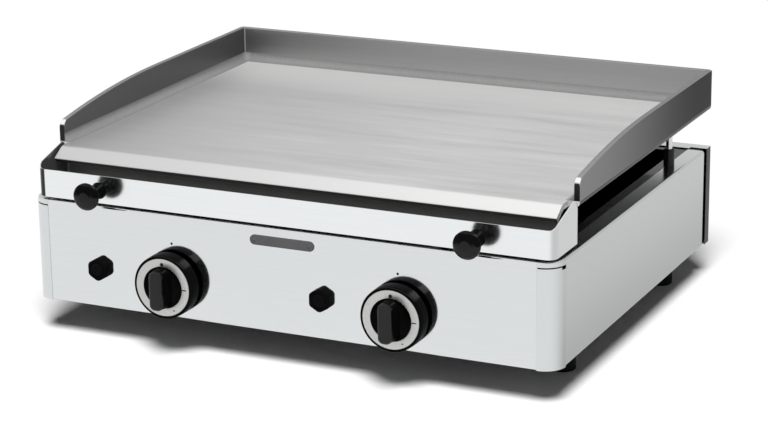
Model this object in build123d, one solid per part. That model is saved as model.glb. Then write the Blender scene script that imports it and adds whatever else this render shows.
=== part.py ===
from build123d import *
import os

# Countertop gas griddle with two burners, millimetres.
# X runs left to right, Y from the control panel to the back, Z up from the table.
# While modelling, Y = 0 is the casing's front face; every node is centred on export.

# Clearances
SEAM = 0.3            # open seam between two sheets of one casing
PANEL_SEAM = 0.8      # open seam at the sides of the control panel
SLIP = 0.05           # radial play of a piece that turns or slides
SEAT = 0.1            # radial play of a piece that is fixed in its hole

# Casing
CASING_W = 600.0
CASING_D = 470.0
CASING_H = 112.0
SHEET = 1.2
CORNER_R = 22.0       # front corners, seen from above
BEND_R = 3.0          # outside radius of a folded edge
RIM_W = 19.0          # folded rim along the top of the sides and back
HEM_W = 12.0          # folded edge along the bottom, under the base pan
SHELF_D = 62.0        # top of the control panel, folded back under the drawer
TAB_W = 14.0          # tongues of the sides behind the control panel
TAB_DROP = 14.0       # end of a tongue below the rim and above the bottom
SLIT_DROP = 7.0       # relief slit round the front corner, below the rim
SLIT_H = 1.4
SLIT_END_Y = 14.0     # behind this the slit is wider
SLIT_END_H = 4.0
REAR_RETURN = 14.0    # back panel's folded sides
REAR_VENT = 10.0      # open gap between a side and the back panel
REAR_EDGE_R = 1.0
VENT_L = 44.0
VENT_H = 5.0
VENT_PITCH = 56.0
VENT_ROW = 14.0
VENT_COUNT = 8
VENT_ROWS = 2
VENT_TOP = 24.0       # upper row of back vents, below the rim
PAN_VENT_L = 60.0
PAN_VENT_W = 8.0
PAN_VENT_PITCH = 20.0
PAN_VENT_COUNT = 8
FOOT_H = 38.0
FOOT_R = 14.4
FOOT_TIP_R = 13.0
FOOT_EDGE_R = 1.5
FOOT_X = 38.0         # centre of a foot, in from the casing's side
FOOT_FRONT_Y = 113.5
FOOT_REAR_Y = 54.5    # centre of a rear foot, in from the casing's back
FOOT_SCREW_R = 3.0
FOOT_HEAD_R = 6.0
FOOT_HEAD_H = 4.0
FOOT_SINK = 9.0       # depth of the screw head's recess in the foot
FOOT_SCREW_TIP = 1.0
NUT_AF = 10.0
NUT_H = 5.0
BASE_SCREW_R = 1.8
BASE_HEAD_R = 3.4
BASE_HEAD_H = 1.8
BASE_SCREW_TIP = 4.0
BASE_SCREW_END = 70.0  # first screw along a folded edge, in from its end

# Cooking plate and splash guard
PLATE_T = 6.0
PLATE_GAP = 40.5      # underside of the plate above the rim
PLATE_INSET = 2.0     # plate's side, in from the casing's side
TONGUE_INSET = 14.0   # front tongue's side, in from the casing's side
PLATE_OVERHANG = 8.0  # plate past the casing's back
PLATE_FRONT_Y = 61.5  # front end of the guards and of the full width
LIP_Y = 30.0          # front edge of the lip
LIP_BEND_Y = 46.0     # where the lip turns down
LIP_DROP = 10.0
LIP_BEND_R = 9.0
LIP_EDGE_R = 1.0
PLATE_EDGE_R = 4.5    # lower edge of the plate's sides and back
GUARD_T = 6.0
GUARD_H = 39.5
GUARD_FRONT_H = 22.2
GUARD_SLOPE_Y = 265.0  # behind this the guard is level
GUARD_BEND_R = 5.0    # rear corners, outside
GUARD_INNER_R = 2.0   # rear corners, inside
GUARD_TIP_R = 6.0
COVE_R = 9.0          # welded cove between plate and guard
LEG_R = 3.5
LEG_X = 16.0          # centre of a plate leg, in from the casing's side
LEG_FRONT_Y = 74.0
LEG_REAR_Y = 98.0     # centre of a rear leg, in from the casing's back
LEG_TIP = 1.0
CUP_R = 6.0
CUP_H = 20.0
CUP_DEPTH = 12.0
CUP_EDGE_R = 1.0

# Grease drawer
DRAWER_INSET = 7.0    # half the room beside the drawer
DRAWER_SHIFT = 3.0    # drawer's middle, to the right of the casing's
DRAWER_D = 61.0
DRAWER_GAP = 3.0      # drawer's floor above the shelf
DRAWER_FRONT_H = 29.7
DRAWER_SIDE_H = 46.5
DRAWER_REAR_H = 23.0
DRAWER_CORNER_R = 10.0
RAMP_FRONT_Y = 2.5    # the side walls rise from the front wall's height here
RAMP_KNEE_Y = 10.0    # from here they rise more gently
RAMP_KNEE_H = 35.0
RAMP_CREST_Y = 52.0   # highest point of a side wall
RAMP_TAIL_H = 37.0    # rear end of a side wall
RAMP_BEND_R = 6.0
RAMP_CREST_R = 3.0
RUNNER_SIDE = 120.0   # runner's middle, in from the casing's side
RUNNER_W = 12.0
RUNNER_END = 3.0
GUIDE_W = 8.0
GUIDE_H = 2.4
GUIDE_PLAY = 0.5
PULL_SIDE = 85.5      # pull's axis, in from the casing's side
PULL_Z = 13.5         # pull's axis above the drawer's floor
PULL_REACH = 30.0
PULL_HEAD_R = 14.5
PULL_HEAD_T = 8.0
PULL_FACE_R = 4.0
PULL_BACK_R = 2.0
PULL_NECK_R = 6.0
PULL_NECK_BEND = 3.0
PULL_BASE_R = 9.0
PULL_FLARE = 7.0
PULL_FLARE_R = 6.0
PULL_SCREW_R = 2.5
PULL_SCREW_IN = 12.0
PULL_SCREW_HEAD_R = 4.5
PULL_SCREW_HEAD_H = 3.0

# Controls
BURNER_SIDE = 170.0   # axis of a knob, valve and burner, in from the casing's side
KNOB_Z = 39.0         # above the casing's bottom
KNOB_R = 34.3
KNOB_FACE = 20.0      # dial face in front of the panel
KNOB_GAP = 4.5        # skirt's free edge in front of the panel
KNOB_WALL = 3.0
KNOB_WEB = 3.5
KNOB_EDGE_R = 1.2
DIAL_R = 31.0
DIAL_HOLE_R = 22.5
DIAL_T = 1.4
DIAL_PROUD = 0.2
FINGER_DEPTH = 3.0    # sunk floor round the grip
GRIP_L = 44.0
GRIP_W = 17.0
GRIP_REACH = 17.0     # grip in front of the dial face
GRIP_TAPER = 3.0
GRIP_END_R = 7.0
GRIP_EDGE_R = 2.5
HUB_R = 9.0
SPINDLE_R = 4.0
SPINDLE_FLAT = 2.8    # flat of the spindle's D, from its axis
SPINDLE_IN = 9.0      # spindle's D inside the knob
SPINDLE_TAIL = 24.0   # rear end of the spindle behind the panel's face
PLUNGER_R = 5.5
PLUNGER_NOSE = 6.2    # front end of the push sleeve before the panel's face
PLUNGER_TAIL = 14.0
PUSH = 3.0            # travel of a knob that is pushed in
END_PLAY = 0.2
COLLAR_R = 5.3
COLLAR_T = 1.8
VALVE_W = 26.0
VALVE_FRONT_Y = 6.0
VALVE_REAR_Y = 33.0
VALVE_H = 26.0
VALVE_NECK_R = 9.0
VALVE_PORT_R = 6.0
VALVE_PORT_H = 4.0
EAR_HALF = 25.0
EAR_H = 20.0
EAR_T = 2.0
EAR_HOLE_X = 19.0
VALVE_SCREW_R = 2.0
VALVE_HEAD_R = 3.5
VALVE_HEAD_H = 2.0
VALVE_SCREW_TIP = 3.0
PANEL_HOLE_R = 7.0
IGNITER_SIDE = 86.0   # igniter to the left of its knob
IGNITER_Z = 43.5
BARREL_R = 8.9
BARREL_NOSE = 7.5
BARREL_TAIL = 46.0
BARREL_FLANGE_R = 12.5
BARREL_FLANGE_T = 3.0
BUTTON_R = 7.0
BUTTON_NOSE = 9.5
BUTTON_TAIL = 8.0
BUTTON_TRAVEL = 5.0
BUTTON_EDGE_R = 1.5
RING_NUT_AF = 22.6
RING_NUT_CORNER_R = 5.0
RING_NUT_T = 8.0
TERMINAL_R = 3.0
TERMINAL_L = 10.0
BADGE_L = 73.0
BADGE_H = 10.5
BADGE_T = 1.2
BADGE_Z = 97.5
RIVET_X = 31.0
RIVET_R = 1.0
RIVET_HEAD_R = 1.8
RIVET_HEAD_H = 0.8
RIVET_TAIL = 1.5

# Burners and gas line
BOX_SIDE = 30.0       # burner box wall, in from the casing's side
BOX_FRONT_Y = 80.0
BOX_REAR = 30.0       # burner box wall, in from the casing's back
BOX_FLOOR_Z = 45.0    # above the casing's bottom
BOX_LEDGE = 24.0      # folded rim of the burner box, under the casing's rim
BURNER_Z = 80.0       # above the casing's bottom
BURNER_R = 17.0
BURNER_WALL = 1.2
BURNER_FRONT_Y = 110.0
BURNER_REAR_GAP = 16.0
MIXER_R = 13.0
MIXER_FRONT_Y = 66.0
AIR_L = 8.0
AIR_H = 12.0
AIR_Y = 3.0
PORT_R = 1.3
PORT_PITCH = 9.0
PORT_COUNT = 32
PORT_ANGLE = 32.0
BRACKET_T = 2.0
BRACKET_W = 44.0
BRACKET_REAR = 24.0   # bracket, in from the burner's rear end
INJECTOR_R = 5.5
INJECTOR_L = 14.0
INJECTOR_IN = 5.0     # injector past the mouth of the mixer
JET_R = 0.8
FEED_R = 4.0
FEED_Y = 19.0
FEED_BEND = 14.0
MANIFOLD_R = 7.0
MANIFOLD_WALL = 1.5
MANIFOLD_Y = 22.0
MANIFOLD_DROP = 21.0  # manifold's axis below the knobs' axis
MANIFOLD_END = 24.0   # closed end past the left valve
MANIFOLD_BEND = 30.0
PORT_SINK = 1.6       # valve port inside the manifold
INLET_SIDE = 70.0     # gas inlet's axis, in from the casing's right side
INLET_R = 10.48
INLET_REACH = 18.0
INLET_BORE_R = 5.0
INLET_NUT_AF = 30.0
INLET_NUT_T = 4.0
INLET_BODY_AF = 27.0
INLET_BODY_L = 14.0
CLIP_Y = 240.0
CLIP_L = 12.0
CLIP_WALL = 5.0
SENSOR_X = 26.0       # thermocouple to the right of its burner
SENSOR_Z = 5.0        # thermocouple and electrode above the burner's axis
SENSOR_R = 3.0
SENSOR_FRONT_Y = 72.0
SENSOR_TIP_Y = 128.0
CAPILLARY_R = 1.2
CAPILLARY_Y = 50.0
CAPILLARY_BEND = 8.0
CAPILLARY_X = 8.0
CAPILLARY_Z = 6.0
ELECTRODE_X = 30.0    # electrode to the left of its burner
ELECTRODE_R = 3.5
ELECTRODE_FRONT_Y = 76.0
ELECTRODE_REAR_Y = 112.0
SPARK_R = 1.1
SPARK_RUN = 18.0
SPARK_HOOK = 9.0
SPARK_BEND = 4.0
LEAD_R = 1.6
LEAD_Y = 66.0
LEAD_BEND = 6.0

# Levels and places that follow from the sizes above
HALF_W = CASING_W / 2
BURNER_X = HALF_W - BURNER_SIDE
PULL_X = HALF_W - PULL_SIDE
RUNNER_X = HALF_W - RUNNER_SIDE
INLET_X = HALF_W - INLET_SIDE
Z_BOTTOM = FOOT_H
Z_RIM = Z_BOTTOM + CASING_H
Z_PAN = Z_BOTTOM + SHEET
Z_PAN_TOP = Z_PAN + SHEET
Z_PLATE = Z_RIM + PLATE_GAP
Z_COOK = Z_PLATE + PLATE_T
Z_DRAWER = Z_RIM + DRAWER_GAP
Z_KNOB = Z_BOTTOM + KNOB_Z
Z_IGNITER = Z_BOTTOM + IGNITER_Z
Z_BURNER = Z_BOTTOM + BURNER_Z
Z_SENSOR = Z_BURNER + SENSOR_Z
Z_MANIFOLD = Z_KNOB - MANIFOLD_DROP
Z_BOX = Z_BOTTOM + BOX_FLOOR_Z
Z_LEDGE = Z_RIM - SHEET
SIDE_END_Y = CASING_D - REAR_RETURN - REAR_VENT
PLATE_REAR_Y = CASING_D + PLATE_OVERHANG
GUARD_HALF = HALF_W - PLATE_INSET
FRONT_HALF = HALF_W - CORNER_R - PANEL_SEAM
DRAWER_HALF = HALF_W - DRAWER_INSET
BOX_HALF = HALF_W - BOX_SIDE
BOX_REAR_Y = CASING_D - BOX_REAR
BURNER_REAR_Y = BOX_REAR_Y - BURNER_REAR_GAP
GRIP_FRONT_Y = -KNOB_FACE - GRIP_REACH
REAR_MOST_Y = max(PLATE_REAR_Y, CASING_D + INLET_REACH)
Y_MIDDLE = (GRIP_FRONT_Y + REAR_MOST_Y) / 2
SIDES = {"left": -1, "right": 1}
FEET = {
    "front_left_foot": (-1, FOOT_FRONT_Y),
    "front_right_foot": (1, FOOT_FRONT_Y),
    "rear_left_foot": (-1, CASING_D - FOOT_REAR_Y),
    "rear_right_foot": (1, CASING_D - FOOT_REAR_Y),
}
OVER = 5.0            # how far a cutting tool reaches past what it cuts


def block(x0, x1, y0, y1, z0, z1):
    """Block between two corners."""
    middle = Pos((x0 + x1) / 2, (y0 + y1) / 2, (z0 + z1) / 2)
    return middle * Box(x1 - x0, y1 - y0, z1 - z0)


def rod_x(radius, x0, x1, y, z):
    """Round bar along X."""
    return Pos((x0 + x1) / 2, y, z) * Rot(0, 90, 0) * Cylinder(radius, x1 - x0)


def rod_y(radius, y0, y1, x, z):
    """Round bar along Y."""
    return Pos(x, (y0 + y1) / 2, z) * Rot(90, 0, 0) * Cylinder(radius, y1 - y0)


def rod_z(radius, z0, z1, x, y):
    """Round bar along Z."""
    return Pos(x, y, (z0 + z1) / 2) * Cylinder(radius, z1 - z0)


def rounded_face(corners):
    """Flat face through (u, v, radius) corners, each rounded by its own radius."""
    face = make_face(Polyline(*[(u, v) for u, v, _ in corners], close=True))
    for u, v, radius in corners:
        if radius > 0:
            corner = face.vertices().sort_by_distance((u, v, 0))[0]
            face = fillet(corner, radius)
    return face


def along_x(face, x0, x1):
    """Solid from a face in (Y, Z) carried along X."""
    return extrude(Plane.YZ.offset(x0) * face, x1 - x0)


def along_y(face, y0, y1):
    """Solid from a face in (X, Z) carried along Y."""
    return extrude(Plane.XZ.offset(-y0) * face, -(y1 - y0))


def along_z(face, z0, z1):
    """Solid from a face in (X, Y) carried along Z."""
    return extrude(Plane.XY.offset(z0) * face, z1 - z0)


def turned_y(face, x, z):
    """Body of revolution about a line along Y; the face is in (radius, Y)."""
    return Pos(x, 0, z) * revolve(face, Axis.Y)


def turned_z(face, x, y):
    """Body of revolution about a line along Z; the face is in (radius, Z)."""
    return Pos(x, y, 0) * revolve(Plane.XZ * face, Axis.Z)


def bent_rod(points, bend, radius):
    """Round wire or pipe through points, with one bend radius at each corner."""
    path = FilletPolyline(*points, radius=bend)
    return sweep(Plane(origin=path @ 0, z_dir=path % 0) * Circle(radius), path=path)


def both_sides(shape):
    """The shape and its mirror image across the middle."""
    return [shape, mirror(shape, Plane.YZ)]


def group(shapes):
    """Several separate solids as one node."""
    return Compound([solid for shape in shapes for solid in shape.solids()])


def base_screw_places():
    """Places of the screws that hold the folded edges to the base pan."""
    side_x = HALF_W - HEM_W / 2
    side_y = (CORNER_R + BASE_SCREW_END, SIDE_END_Y - BASE_SCREW_END)
    end_x = FRONT_HALF - BASE_SCREW_END
    end_y = (HEM_W / 2, CASING_D - HEM_W / 2)
    places = [(s * side_x, y) for s in SIDES.values() for y in side_y]
    places += [(s * end_x, y) for s in SIDES.values() for y in end_y]
    return places


def base_screw_holes():
    """Drills for the base pan's screws."""
    radius = BASE_SCREW_R + SEAT
    top = Z_PAN_TOP + OVER
    return [rod_z(radius, Z_BOTTOM - OVER, top, x, y) for x, y in base_screw_places()]


def right_side_panel():
    """Side sheet with its folded rim and hem, and the round front corner in one piece."""
    wall_x = HALF_W - SHEET
    inner_r = BEND_R - SHEET
    section = rounded_face([
        (HALF_W - RIM_W, Z_RIM, 0),
        (HALF_W, Z_RIM, BEND_R),
        (HALF_W, Z_BOTTOM, BEND_R),
        (HALF_W - HEM_W, Z_BOTTOM, 0),
        (HALF_W - HEM_W, Z_PAN, 0),
        (wall_x, Z_PAN, inner_r),
        (wall_x, Z_LEDGE, inner_r),
        (HALF_W - RIM_W, Z_LEDGE, 0),
    ])
    straight = along_y(section, CORNER_R, SIDE_END_Y)
    centre_x = HALF_W - CORNER_R
    quarter = rounded_face([
        (0, Z_RIM, 0),
        (CORNER_R, Z_RIM, BEND_R),
        (CORNER_R, Z_BOTTOM, 0),
        (CORNER_R - SHEET, Z_BOTTOM, 0),
        (CORNER_R - SHEET, Z_LEDGE, inner_r),
        (0, Z_LEDGE, 0),
    ])
    swing = Axis((0, 0, 0), (0, 0, -1))
    corner = Pos(centre_x, CORNER_R, 0) * revolve(Plane.XZ * quarter, swing, 90)
    slit_z = Z_RIM - SLIT_DROP
    slit_rear = CORNER_R - SHEET
    slit_top = slit_z + SLIT_H
    slit = block(centre_x - OVER, HALF_W + OVER, -OVER, slit_rear, slit_z, slit_top)
    slit += block(centre_x, HALF_W + OVER, SLIT_END_Y, slit_rear, slit_top - SLIT_END_H, slit_top)
    tongue = block(centre_x - TAB_W, centre_x + BEND_R, SHEET, 2 * SHEET,
                   Z_BOTTOM + TAB_DROP, Z_RIM - TAB_DROP)
    return straight + (corner - slit) + tongue - base_screw_holes()


def front_panel():
    """Control panel, folded back at the top as the drawer's shelf."""
    inner_r = BEND_R - SHEET
    section = rounded_face([
        (0, Z_BOTTOM, BEND_R),
        (0, Z_RIM, BEND_R),
        (SHELF_D, Z_RIM, 0),
        (SHELF_D, Z_LEDGE, 0),
        (SHEET, Z_LEDGE, inner_r),
        (SHEET, Z_PAN, inner_r),
        (HEM_W, Z_PAN, 0),
        (HEM_W, Z_BOTTOM, 0),
    ])
    panel = along_x(section, -FRONT_HALF, FRONT_HALF)
    holes = base_screw_holes()
    for side in SIDES.values():
        knob_x = side * BURNER_X
        holes.append(rod_y(PANEL_HOLE_R, -OVER, OVER, knob_x, Z_KNOB))
        holes.append(rod_y(BARREL_R + SLIP, -OVER, OVER, knob_x - IGNITER_SIDE, Z_IGNITER))
        holes.append(rod_y(RIVET_R + SEAT, -OVER, OVER, side * RIVET_X, Z_BOTTOM + BADGE_Z))
        for ear in SIDES.values():
            holes.append(rod_y(VALVE_SCREW_R + SEAT, -OVER, OVER, knob_x + ear * EAR_HOLE_X, Z_KNOB))
    return panel - holes


def rear_panel():
    """Back sheet with folded sides, rim and hem, rows of vents and the gas inlet's hole."""
    back_y = CASING_D - SHEET
    wall = block(-HALF_W, HALF_W, back_y, CASING_D, Z_BOTTOM, Z_RIM)
    rim = block(-HALF_W, HALF_W, CASING_D - RIM_W, CASING_D, Z_LEDGE, Z_RIM)
    hem = block(-HALF_W + SHEET, HALF_W - SHEET, CASING_D - HEM_W, CASING_D, Z_BOTTOM, Z_PAN)
    fold = block(HALF_W - SHEET, HALF_W, CASING_D - REAR_RETURN, CASING_D, Z_BOTTOM, Z_RIM)
    notch = block(HALF_W - RIM_W, HALF_W + OVER, CASING_D - RIM_W - OVER, CASING_D - REAR_RETURN,
                  Z_LEDGE - OVER, Z_RIM + OVER)
    panel = wall + rim + hem + both_sides(fold) - both_sides(notch)
    outer_edges = panel.edges().filter_by(Axis.Z).group_by(Axis.Y)[-1]
    panel = fillet(outer_edges, REAR_EDGE_R)
    slots = base_screw_holes()
    for row in range(VENT_ROWS):
        z = Z_RIM - VENT_TOP - row * VENT_ROW
        for place in GridLocations(VENT_PITCH, 1, VENT_COUNT, 1):
            slot = Pos(place.position.X, z) * SlotOverall(VENT_L, VENT_H)
            slots.append(along_y(slot, CASING_D - OVER, CASING_D + OVER))
    slots.append(rod_y(INLET_R + SEAT, back_y - OVER, CASING_D + OVER, INLET_X, Z_MANIFOLD))
    return panel - slots


def base_pan():
    """Bottom sheet on the folded edges, with air slots under the burners."""
    half = HALF_W - BEND_R - SEAM
    front = BEND_R + SEAM
    corner = CORNER_R - front
    outline = rounded_face([
        (-half, front, corner),
        (half, front, corner),
        (half, CASING_D - SHEET - SEAM, 0),
        (-half, CASING_D - SHEET - SEAM, 0),
    ])
    pan = along_z(outline, Z_PAN, Z_PAN_TOP)
    holes = base_screw_holes()
    for side, y in FEET.values():
        x = side * (HALF_W - FOOT_X)
        holes.append(rod_z(FOOT_SCREW_R + SEAT, Z_PAN - OVER, Z_PAN_TOP + OVER, x, y))
    middle_y = (BOX_FRONT_Y + BOX_REAR_Y) / 2
    for side in SIDES.values():
        for place in GridLocations(1, PAN_VENT_PITCH, 1, PAN_VENT_COUNT):
            slot = Pos(side * BURNER_X, middle_y + place.position.Y) * SlotOverall(PAN_VENT_L, PAN_VENT_W)
            holes.append(along_z(slot, Z_PAN - OVER, Z_PAN_TOP + OVER))
    return pan - holes


def base_screws():
    """Screws from below through the folded edges into the base pan."""
    head = rod_z(BASE_HEAD_R, Z_BOTTOM - BASE_HEAD_H, Z_BOTTOM, 0, 0)
    screw = head + rod_z(BASE_SCREW_R, Z_BOTTOM, Z_PAN_TOP + BASE_SCREW_TIP, 0, 0)
    return group([Pos(x, y) * screw for x, y in base_screw_places()])


def foot(x, y):
    """Rubber foot with a recess for its screw."""
    bore = FOOT_SCREW_R + SEAT
    recess = FOOT_HEAD_R + SEAM
    section = rounded_face([
        (recess, 0, 0),
        (FOOT_TIP_R, 0, FOOT_EDGE_R),
        (FOOT_R, Z_PAN, 0),
        (bore, Z_PAN, 0),
        (bore, FOOT_SINK, 0),
        (recess, FOOT_SINK, 0),
    ])
    return turned_z(section, x, y)


def foot_screws():
    """Screws up through the feet, each with its nut inside the base pan."""
    nut_top = Z_PAN_TOP + NUT_H
    head = rod_z(FOOT_HEAD_R, FOOT_SINK - FOOT_HEAD_H, FOOT_SINK, 0, 0)
    screw = head + rod_z(FOOT_SCREW_R, FOOT_SINK, nut_top + FOOT_SCREW_TIP, 0, 0)
    hexagon = RegularPolygon(NUT_AF / 2, 6, major_radius=False)
    nut = along_z(hexagon - Circle(FOOT_SCREW_R + SEAT), Z_PAN_TOP, nut_top)
    pieces = []
    for side, y in FEET.values():
        place = Pos(side * (HALF_W - FOOT_X), y)
        pieces += [place * screw, place * nut]
    return group(pieces)


def burner_box():
    """Open black box round the burners, hung by its folded rim under the casing's rim."""
    outer = block(-BOX_HALF, BOX_HALF, BOX_FRONT_Y, BOX_REAR_Y, Z_BOX, Z_LEDGE)
    ledge = block(-BOX_HALF - BOX_LEDGE, BOX_HALF + BOX_LEDGE, BOX_FRONT_Y - BOX_LEDGE,
                  BOX_REAR_Y + BOX_LEDGE, Z_LEDGE - SHEET, Z_LEDGE)
    hollow = block(-BOX_HALF + SHEET, BOX_HALF - SHEET, BOX_FRONT_Y + SHEET, BOX_REAR_Y - SHEET,
                   Z_BOX + SHEET, Z_LEDGE + OVER)
    holes = [hollow]
    for side in SIDES.values():
        x = side * BURNER_X
        y0 = BOX_FRONT_Y - OVER
        y1 = BOX_FRONT_Y + OVER
        holes.append(rod_y(MIXER_R + SEAT, y0, y1, x, Z_BURNER))
        holes.append(rod_y(SENSOR_R + SEAT, y0, y1, x + SENSOR_X, Z_SENSOR))
        holes.append(rod_y(ELECTRODE_R + SEAT, y0, y1, x - ELECTRODE_X, Z_SENSOR))
    return outer + ledge - holes


def leg_places():
    """Places of the plate's four legs."""
    x = HALF_W - LEG_X
    return [(s * x, y) for s in SIDES.values() for y in (LEG_FRONT_Y, CASING_D - LEG_REAR_Y)]


def plate_cups():
    """Black cups on the casing's rim that locate the plate's legs."""
    floor = Z_RIM + CUP_H - CUP_DEPTH
    bore = LEG_R + SLIP
    section = rounded_face([
        (0, Z_RIM, 0),
        (CUP_R, Z_RIM, 0),
        (CUP_R, Z_RIM + CUP_H, CUP_EDGE_R),
        (bore, Z_RIM + CUP_H, 0),
        (bore, floor, 0),
        (0, floor, 0),
    ])
    return group([turned_z(section, x, y) for x, y in leg_places()])


def plate_legs():
    """Steel pins welded under the plate."""
    foot_z = Z_RIM + CUP_H - CUP_DEPTH
    section = rounded_face([
        (0, foot_z, 0),
        (LEG_R - LEG_TIP, foot_z, 0),
        (LEG_R, foot_z + LEG_TIP, 0),
        (LEG_R, Z_PLATE, 0),
        (0, Z_PLATE, 0),
    ])
    return group([turned_z(section, x, y) for x, y in leg_places()])


def on_lower_rim(edge):
    """Whether an edge lies round the underside of the plate's full width, front apart."""
    middle = edge @ 0.5
    at_side = abs(middle.X) > GUARD_HALF - GUARD_BEND_R
    at_rear = middle.Y > PLATE_REAR_Y - GUARD_BEND_R
    return abs(middle.Z - Z_PLATE) < SLIP and middle.Y > PLATE_FRONT_Y + SLIP and (at_side or at_rear)


def plate_lip():
    """Front tongue of the cooking plate, narrower than the plate and bent down as a lip."""
    run = LIP_BEND_Y - LIP_Y
    length = (run ** 2 + LIP_DROP ** 2) ** 0.5
    normal_y = LIP_DROP / length * PLATE_T
    normal_z = run / length * PLATE_T
    inner_bend_y = LIP_BEND_Y + PLATE_T * (length - run) / LIP_DROP
    section = rounded_face([
        (LIP_Y, Z_COOK - LIP_DROP, LIP_EDGE_R),
        (LIP_BEND_Y, Z_COOK, LIP_BEND_R + PLATE_T),
        (PLATE_FRONT_Y, Z_COOK, 0),
        (PLATE_FRONT_Y, Z_PLATE, 0),
        (inner_bend_y, Z_PLATE, LIP_BEND_R),
        (LIP_Y + normal_y, Z_COOK - LIP_DROP - normal_z, LIP_EDGE_R),
    ])
    return along_x(section, TONGUE_INSET - HALF_W, HALF_W - TONGUE_INSET)


def griddle_plate():
    """Thick cooking plate behind its tongue, with round rear corners."""
    plate = block(-GUARD_HALF, GUARD_HALF, PLATE_FRONT_Y, PLATE_REAR_Y, Z_PLATE, Z_COOK)
    rear_edges = plate.edges().filter_by(Axis.Z).group_by(Axis.Y)[-1]
    plate = fillet(rear_edges, GUARD_BEND_R)
    rim = [edge for edge in plate.edges() if on_lower_rim(edge)]
    return fillet(rim, PLATE_EDGE_R)


def guard_outline(inset, bend_r):
    """Plan of the plate's rear and sides, moved in by an inset, open at the front."""
    half = GUARD_HALF - inset
    rear = PLATE_REAR_Y - inset
    return rounded_face([
        (-half, PLATE_FRONT_Y, 0),
        (-half, rear, bend_r),
        (half, rear, bend_r),
        (half, PLATE_FRONT_Y, 0),
    ])


def splash_guard():
    """Upright sheet folded round the sides and back; its sides fall in a long arc to the front."""
    top = Z_COOK + GUARD_H
    solid = along_z(guard_outline(0, GUARD_BEND_R), Z_COOK, top)
    solid -= along_z(guard_outline(GUARD_T, GUARD_INNER_R), Z_COOK - OVER, top + OVER)
    front_z = Z_COOK + GUARD_FRONT_H
    run = GUARD_SLOPE_Y - PLATE_FRONT_Y
    drop = top - front_z
    arc_r = (run ** 2 + drop ** 2) / (2 * drop)
    half_run = run / 2
    half_z = top - arc_r + (arc_r ** 2 - half_run ** 2) ** 0.5
    arc = ThreePointArc((PLATE_FRONT_Y, front_z), (GUARD_SLOPE_Y - half_run, half_z), (GUARD_SLOPE_Y, top))
    rest = Polyline((GUARD_SLOPE_Y, top), (GUARD_SLOPE_Y, top + OVER), (PLATE_FRONT_Y, top + OVER),
                    (PLATE_FRONT_Y, front_z))
    solid -= along_x(make_face([arc, rest]), -HALF_W, HALF_W)
    tips = solid.edges().filter_by(Axis.X).group_by(Axis.Y)[0].group_by(Axis.Z)[-1]
    return fillet(tips, GUARD_TIP_R)


def guard_weld():
    """Smooth weld between the plate and the guard, a cove of one radius on three sides."""
    half = GUARD_HALF - GUARD_T
    rear = PLATE_REAR_Y - GUARD_T
    body = along_z(guard_outline(GUARD_T, GUARD_INNER_R), Z_COOK, Z_COOK + COVE_R)
    z = Z_COOK + COVE_R
    x = half - COVE_R
    y = rear - COVE_R
    hollow = block(-x, x, PLATE_FRONT_Y - OVER, y, Z_COOK - OVER, z + OVER)
    trough = rod_y(COVE_R, PLATE_FRONT_Y - OVER, y, x, z)
    back = rod_x(COVE_R, -x, x, y, z)
    corner = Pos(x, y, z) * Sphere(COVE_R)
    return body - [hollow, back] - both_sides(trough) - both_sides(corner)


def drawer_outline(inset):
    """Plan of the drawer, moved in by an inset, with round front corners."""
    left = DRAWER_SHIFT - DRAWER_HALF + inset
    right = DRAWER_SHIFT + DRAWER_HALF - inset
    corner = DRAWER_CORNER_R - inset
    return rounded_face([
        (left, inset, corner),
        (right, inset, corner),
        (right, DRAWER_D - inset, 0),
        (left, DRAWER_D - inset, 0),
    ])


def grease_drawer():
    """Open tray behind the drawer front; behind its front corners its walls are low."""
    front_z = Z_DRAWER + DRAWER_FRONT_H
    tray = along_z(drawer_outline(0), Z_DRAWER, front_z)
    tray -= along_z(drawer_outline(SHEET), Z_DRAWER + SHEET, front_z + OVER)
    holes = [block(-HALF_W, HALF_W, DRAWER_CORNER_R, DRAWER_D + OVER, Z_DRAWER + DRAWER_REAR_H, front_z + OVER)]
    for side in SIDES.values():
        holes.append(rod_y(PULL_SCREW_R + SEAT, -OVER, OVER, side * PULL_X, Z_DRAWER + PULL_Z))
    return tray - holes


def drawer_cheeks():
    """Upper parts of the drawer's side walls, which rise past the cooking plate's tongue."""
    low_z = Z_DRAWER + DRAWER_REAR_H
    front_z = Z_DRAWER + DRAWER_FRONT_H
    side_z = Z_DRAWER + DRAWER_SIDE_H
    profile = rounded_face([
        (RAMP_FRONT_Y, front_z, 0),
        (RAMP_KNEE_Y, Z_DRAWER + RAMP_KNEE_H, RAMP_BEND_R),
        (RAMP_CREST_Y, side_z, RAMP_CREST_R),
        (DRAWER_D, Z_DRAWER + RAMP_TAIL_H, 0),
        (DRAWER_D, low_z, 0),
        (DRAWER_CORNER_R, low_z, 0),
        (DRAWER_CORNER_R, front_z, 0),
    ])
    wall = along_z(drawer_outline(0), low_z, side_z)
    wall -= along_z(drawer_outline(SHEET), low_z - OVER, side_z + OVER)
    inner_half = DRAWER_HALF - SHEET
    between = block(DRAWER_SHIFT - inner_half, DRAWER_SHIFT + inner_half, DRAWER_D - SHEET - OVER,
                    DRAWER_D + OVER, low_z - OVER, side_z + OVER)
    return group([(wall & along_x(profile, -HALF_W, HALF_W)) - between])


def drawer_runners():
    """Strips under the drawer's floor that slide on the shelf."""
    strip = block(RUNNER_X - RUNNER_W / 2, RUNNER_X + RUNNER_W / 2, RUNNER_END, DRAWER_D - RUNNER_END,
                  Z_RIM, Z_DRAWER)
    return group(both_sides(strip))


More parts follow.
